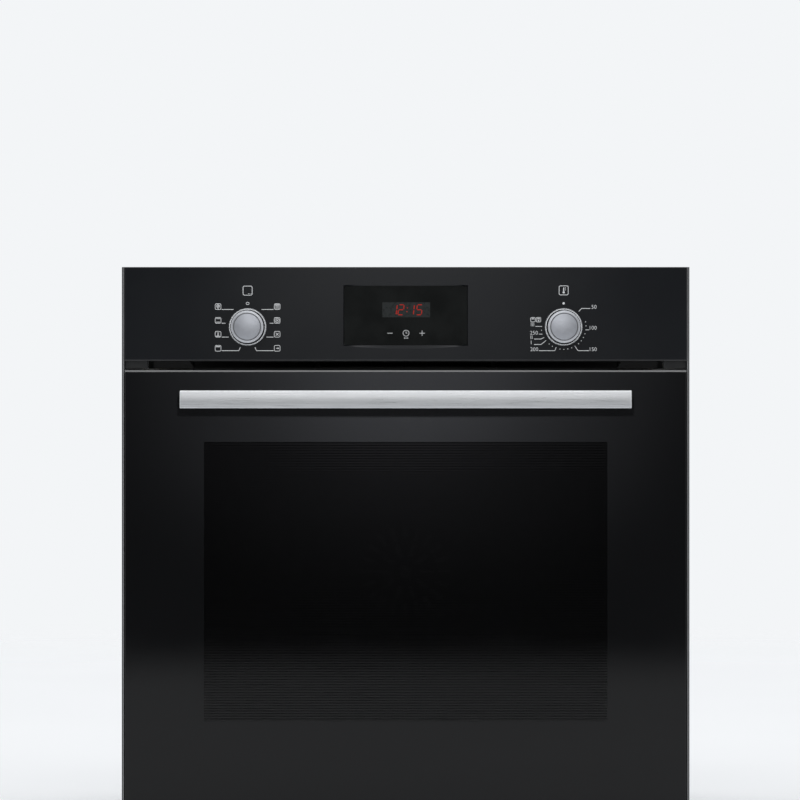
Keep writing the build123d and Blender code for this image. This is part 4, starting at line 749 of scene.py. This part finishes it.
def right_dial(ink):
    """Thermometer mark, dot for the off place, temperatures, and the grill's steps."""
    ink.line(rounded(0, 38.3, HEAD_MARK, HEAD_MARK, 1.6), 0.6, closed=True)
    ink.line([(0, 36.6), (0, 41.2)], 0.9)
    ink.slab(arc(0, 36.2, 1.15, steps=14))
    for rise in (38.6, 39.8, 41.0):
        ink.line([(1.1, rise), (2.3, rise)], 0.4)
    ink.slab(arc(0, 24.7, 1.25, steps=16))
    for string, x, z in (
        ("50", 31.7, 20.8), ("100", 30.4, -1.1), ("150", 30.4, -23.5), ("200", -30.8, -23.5),
        ("I", -34.0, -16.4), ("II", -33.7, -10.9), ("250", -31.1, -6.3), ("III", -32.6, 2.4),
    ):
        ink.text(string, x, z, 4.0)
    for points in (
        [(27.9, 19.4), (18.7, 19.4), (15.8, 16.3)],
        [(22.8, -3.0), (26.5, -3.0)],
        [(26.3, -24.8), (15.0, -24.8), (11.7, -19.8)],
        [(-25.9, -24.8), (-9.2, -24.8), (-7.8, -21.1)],
        [(-31.0, -18.3), (-23.7, -18.3), (-18.3, -14.1)],
        [(-31.0, -12.6), (-23.7, -12.6), (-20.3, -10.8)],
        [(-25.9, -7.5), (-22.2, -7.5)],
        [(-29.5, 0.6), (-22.6, 0.6)],
    ):
        ink.line(points, 0.58)
    # grill with and without fan, above the grill's steps
    for x in (-32.1, -26.3):
        ink.line(rounded(x, 7.6, 4.7, 4.7, 1.0), 0.5, closed=True)
        zigzag(ink, x, 8.6, 2.8, 3, 0.4)
    fan_mark(ink, -26.3, 6.6, 0.75)
    for step in range(DOT_STEPS):
        if step not in DOTS_LEFT_OUT:
            angle = math.radians(DOT_START - DOT_STEP * step)
            ink.slab(arc(DOT_RING_R * math.cos(angle), DOT_RING_R * math.sin(angle), 0.5, steps=8))


PANEL_INK = screen_print()
panel_face_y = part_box("control_panel")[0].y
for knob, dial in (("function_knob", left_dial), ("temperature_knob", right_dial)):
    low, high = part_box(knob)
    middle = (low + high) / 2
    ink = Print(knob + "_scale", middle.x, middle.z, panel_face_y)
    dial(ink)
    ink.done(PANEL_INK)

# ------------------------------------------------------------------ clock and touch marks

glass_face_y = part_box("display_glass")[0].y
module_low, module_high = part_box("display_module")
CLOCK_Z = (module_low.z + module_high.z) / 2
TOUCH_DROP = -24.5

window = Print("clock_window", 0.0006, CLOCK_Z, glass_face_y)
window.slab(rounded(0, 0, 50.0, 15.7, 0.6))
window.done(clock_window())

marks = Print("touch_marks", 0.0, CLOCK_Z, glass_face_y)
marks.line([(-19.2, TOUCH_DROP), (-13.6, TOUCH_DROP)], 0.45)
marks.line([(14.4, TOUCH_DROP), (20.0, TOUCH_DROP)], 0.45)
marks.line([(17.2, TOUCH_DROP - 2.8), (17.2, TOUCH_DROP + 2.8)], 0.45)
marks.line(arc(0.4, TOUCH_DROP, 3.1, steps=28), 0.45, closed=True)
marks.line([(0.4, TOUCH_DROP + 2.0), (0.4, TOUCH_DROP), (1.8, TOUCH_DROP)], 0.42)
for x in (-1.3, 0.4, 2.1):
    marks.slab(arc(x, TOUCH_DROP - 5.1, 0.5, steps=10))
marks.done(PANEL_INK)

SEGMENTS = {"1": "bc", "2": "abged", "5": "afgcd"}
DIGIT_H = 10.5
DIGIT_W = 5.4
DIGIT_SLANT = 0.12
SEGMENT_GAP = 0.55


def digit(ink, figure, x):
    """Seven-segment figure, leaning a little to the right."""
    half = DIGIT_H / 2
    ends = {
        "a": ((0, DIGIT_H), (DIGIT_W, DIGIT_H)), "b": ((DIGIT_W, DIGIT_H), (DIGIT_W, half)),
        "c": ((DIGIT_W, half), (DIGIT_W, 0)), "d": ((0, 0), (DIGIT_W, 0)),
        "e": ((0, 0), (0, half)), "f": ((0, half), (0, DIGIT_H)), "g": ((0, half), (DIGIT_W, half)),
    }
    for name in SEGMENTS[figure]:
        (x0, z0), (x1, z1) = ends[name]
        length = math.hypot(x1 - x0, z1 - z0)
        gap_x = (x1 - x0) / length * SEGMENT_GAP
        gap_z = (z1 - z0) / length * SEGMENT_GAP
        points = [(x0 + gap_x, z0 + gap_z), (x1 - gap_x, z1 - gap_z)]
        ink.line([(x + px + pz * DIGIT_SLANT, pz - half) for px, pz in points], 1.0)


figures = Print("clock_figures", 0.0, CLOCK_Z, glass_face_y - INK_T)
for figure, x in (("1", -15.4), ("2", -8.2), ("1", 2.6), ("5", 11.0)):
    digit(figures, figure, x)
for rise in (-2.0, 2.0):
    figures.slab(arc(1.6 + rise * DIGIT_SLANT, rise, 0.6, steps=12))
figures.done(clock_red())


# ------------------------------------------------------------------ floor, light and camera

FRONT_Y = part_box("door_outer_glass")[0].y
AIM_Z = 0.476  # height on the front that the soft lights are aimed at
GLOW_Z = 0.50  # and the door's and the panel's spotlights
PANEL_GLOW_Z = 0.54
SPOT_Y = -2.3
SPOT_R = 0.05
BRIGHT_METAL = ("handle_bar", "handle_posts", "function_knob", "temperature_knob", "knob_bezels",
                "side_trim_left", "side_trim_right", "door_top_trim")
DOOR = ("door_outer_glass",)
FLOOR_R = 4.2
FLOOR_FADE = 1.6
LIFT_Y = (-0.5, 0.1)  # the floor's glow begins and is full


def floor():
    """Pale round floor that fades out at its edge. Behind the oven it glows to meet the backdrop."""
    mesh = bmesh.new()
    bmesh.ops.create_circle(mesh, cap_ends=True, cap_tris=True, segments=96, radius=FLOOR_R)
    shape = bpy.data.meshes.new("floor")
    mesh.to_mesh(shape)
    mesh.free()
    piece = bpy.data.objects.new("floor", shape)
    bpy.context.scene.collection.objects.link(piece)
    surface = Surface("floor_paint", (0.86, 0.865, 0.875), 0.8, specular=0.1)
    surface.vary(surface.noise(3.0, detail=4.0), amount=0.01, gloss=0.03)
    x, y, _ = surface.axes()
    fade = surface.span(surface.length(x, y), FLOOR_R - FLOOR_FADE, FLOOR_R - 0.1, 1.0, 0.0)
    surface.feed(surface.shader.inputs["Alpha"], fade)
    surface.set("Emission Color", (0.90, 0.92, 0.94, 1.0))
    surface.feed(surface.shader.inputs["Emission Strength"], surface.span(y, *LIFT_Y, 0.0, 0.25))
    shape.materials.append(surface.material)


ROOM_DIM_Y = -0.97  # direction's Y where the room starts to brighten from its dim front
ROOM_LIT_Y = -0.78
ROOM_DIM = 0.05
ROOM_LIT = 0.80


def world():
    """Pale backdrop for the eye, and for the light a room that is bright but for its dim front."""
    made = bpy.data.worlds.new("studio")
    bpy.context.scene.world = made
    made.use_nodes = True
    tree = made.node_tree
    tree.nodes.clear()
    coords = tree.nodes.new("ShaderNodeTexCoord")
    split = tree.nodes.new("ShaderNodeSeparateXYZ")
    ramp = tree.nodes.new("ShaderNodeMapRange")
    ramp.interpolation_type = "SMOOTHSTEP"
    for socket, value in zip(ramp.inputs[1:5], (ROOM_DIM_Y, ROOM_LIT_Y, ROOM_DIM, ROOM_LIT)):
        socket.default_value = value
    tree.links.new(coords.outputs["Generated"], split.inputs[0])
    tree.links.new(split.outputs[1], ramp.inputs[0])
    room = tree.nodes.new("ShaderNodeBackground")
    room.inputs["Color"].default_value = (0.97, 0.985, 1.0, 1.0)
    tree.links.new(ramp.outputs[0], room.inputs["Strength"])
    backdrop = tree.nodes.new("ShaderNodeBackground")
    backdrop.inputs["Color"].default_value = (0.896, 0.913, 0.930, 1.0)
    path = tree.nodes.new("ShaderNodeLightPath")
    choose = tree.nodes.new("ShaderNodeMixShader")
    output = tree.nodes.new("ShaderNodeOutputWorld")
    tree.links.new(path.outputs["Is Camera Ray"], choose.inputs[0])
    tree.links.new(room.outputs[0], choose.inputs[1])
    tree.links.new(backdrop.outputs[0], choose.inputs[2])
    tree.links.new(choose.outputs[0], output.inputs["Surface"])


def hang(name, data, place, target, only):
    """Puts a light in its place, aimed at a point. With only, it lights just the nodes named."""
    light = bpy.data.objects.new(name, data)
    light.location = place
    light.rotation_euler = (Vector(target) - Vector(place)).to_track_quat("-Z", "Y").to_euler()
    light.visible_camera = False
    bpy.context.scene.collection.objects.link(light)
    if only:
        lit = bpy.data.collections.new(name + "_lit")
        for node in only:
            lit.objects.link(nodes[node])
        light.light_linking.receiver_collection = lit
    return light


def area_light(name, place, size, radiance, only=()):
    """Soft rectangular light of an even radiance, aimed at the middle of the front."""
    data = bpy.data.lights.new(name, "AREA")
    data.shape = "RECTANGLE"
    data.size, data.size_y = size
    data.energy = radiance * math.pi * size[0] * size[1]
    hang(name, data, place, (0.0, FRONT_Y, AIM_Z), only)


def spotlight(name, height, aim_z, cone, power, only, squeeze=1.0, mirrored=False):
    """Round soft-edged light in front of the oven. Squeeze flattens its cone."""
    data = bpy.data.lights.new(name, "SPOT")
    data.energy = power
    data.spot_size = math.radians(cone)
    data.spot_blend = 1.0
    data.shadow_soft_size = SPOT_R
    light = hang(name, data, (0.0, SPOT_Y, height), (0.0, FRONT_Y, aim_z), only)
    light.scale = (1.0, squeeze, 1.0)
    light.visible_glossy = mirrored


floor()
world()
area_light("top_softbox", (0.0, -1.4, 2.6), (2.2, 1.2), 0.7)
area_light("front_card", (0.0, -4.4, 1.28), (1.5, 1.2), 1.62, BRIGHT_METAL)
area_light("edge_strip", (0.0, -1.2, 1.9), (2.4, 0.7), 1.6, ("handle_bar",))
spotlight("door_glow", 0.86, GLOW_Z, 18.0, 370.0, DOOR, squeeze=0.8)
spotlight("door_core", 0.92, GLOW_Z, 9.0, 470.0, DOOR)
spotlight("door_fill", 0.44, GLOW_Z, 20.0, 95.0, DOOR, squeeze=0.8)
spotlight("panel_glow", 0.95, PANEL_GLOW_Z, 16.0, 7.6, ("control_panel",), mirrored=True)

camera_data = bpy.data.cameras.new("photo_view")
camera_data.lens = 200.0
camera_data.sensor_width = 36.0
camera = bpy.data.objects.new("photo_view", camera_data)
camera.location = (-0.0059, -4.902, 0.4559)
camera.rotation_euler = (math.radians(90), 0.0, 0.0)
bpy.context.scene.collection.objects.link(camera)
bpy.context.scene.camera = camera
bpy.context.scene.view_settings.view_transform = "Standard"
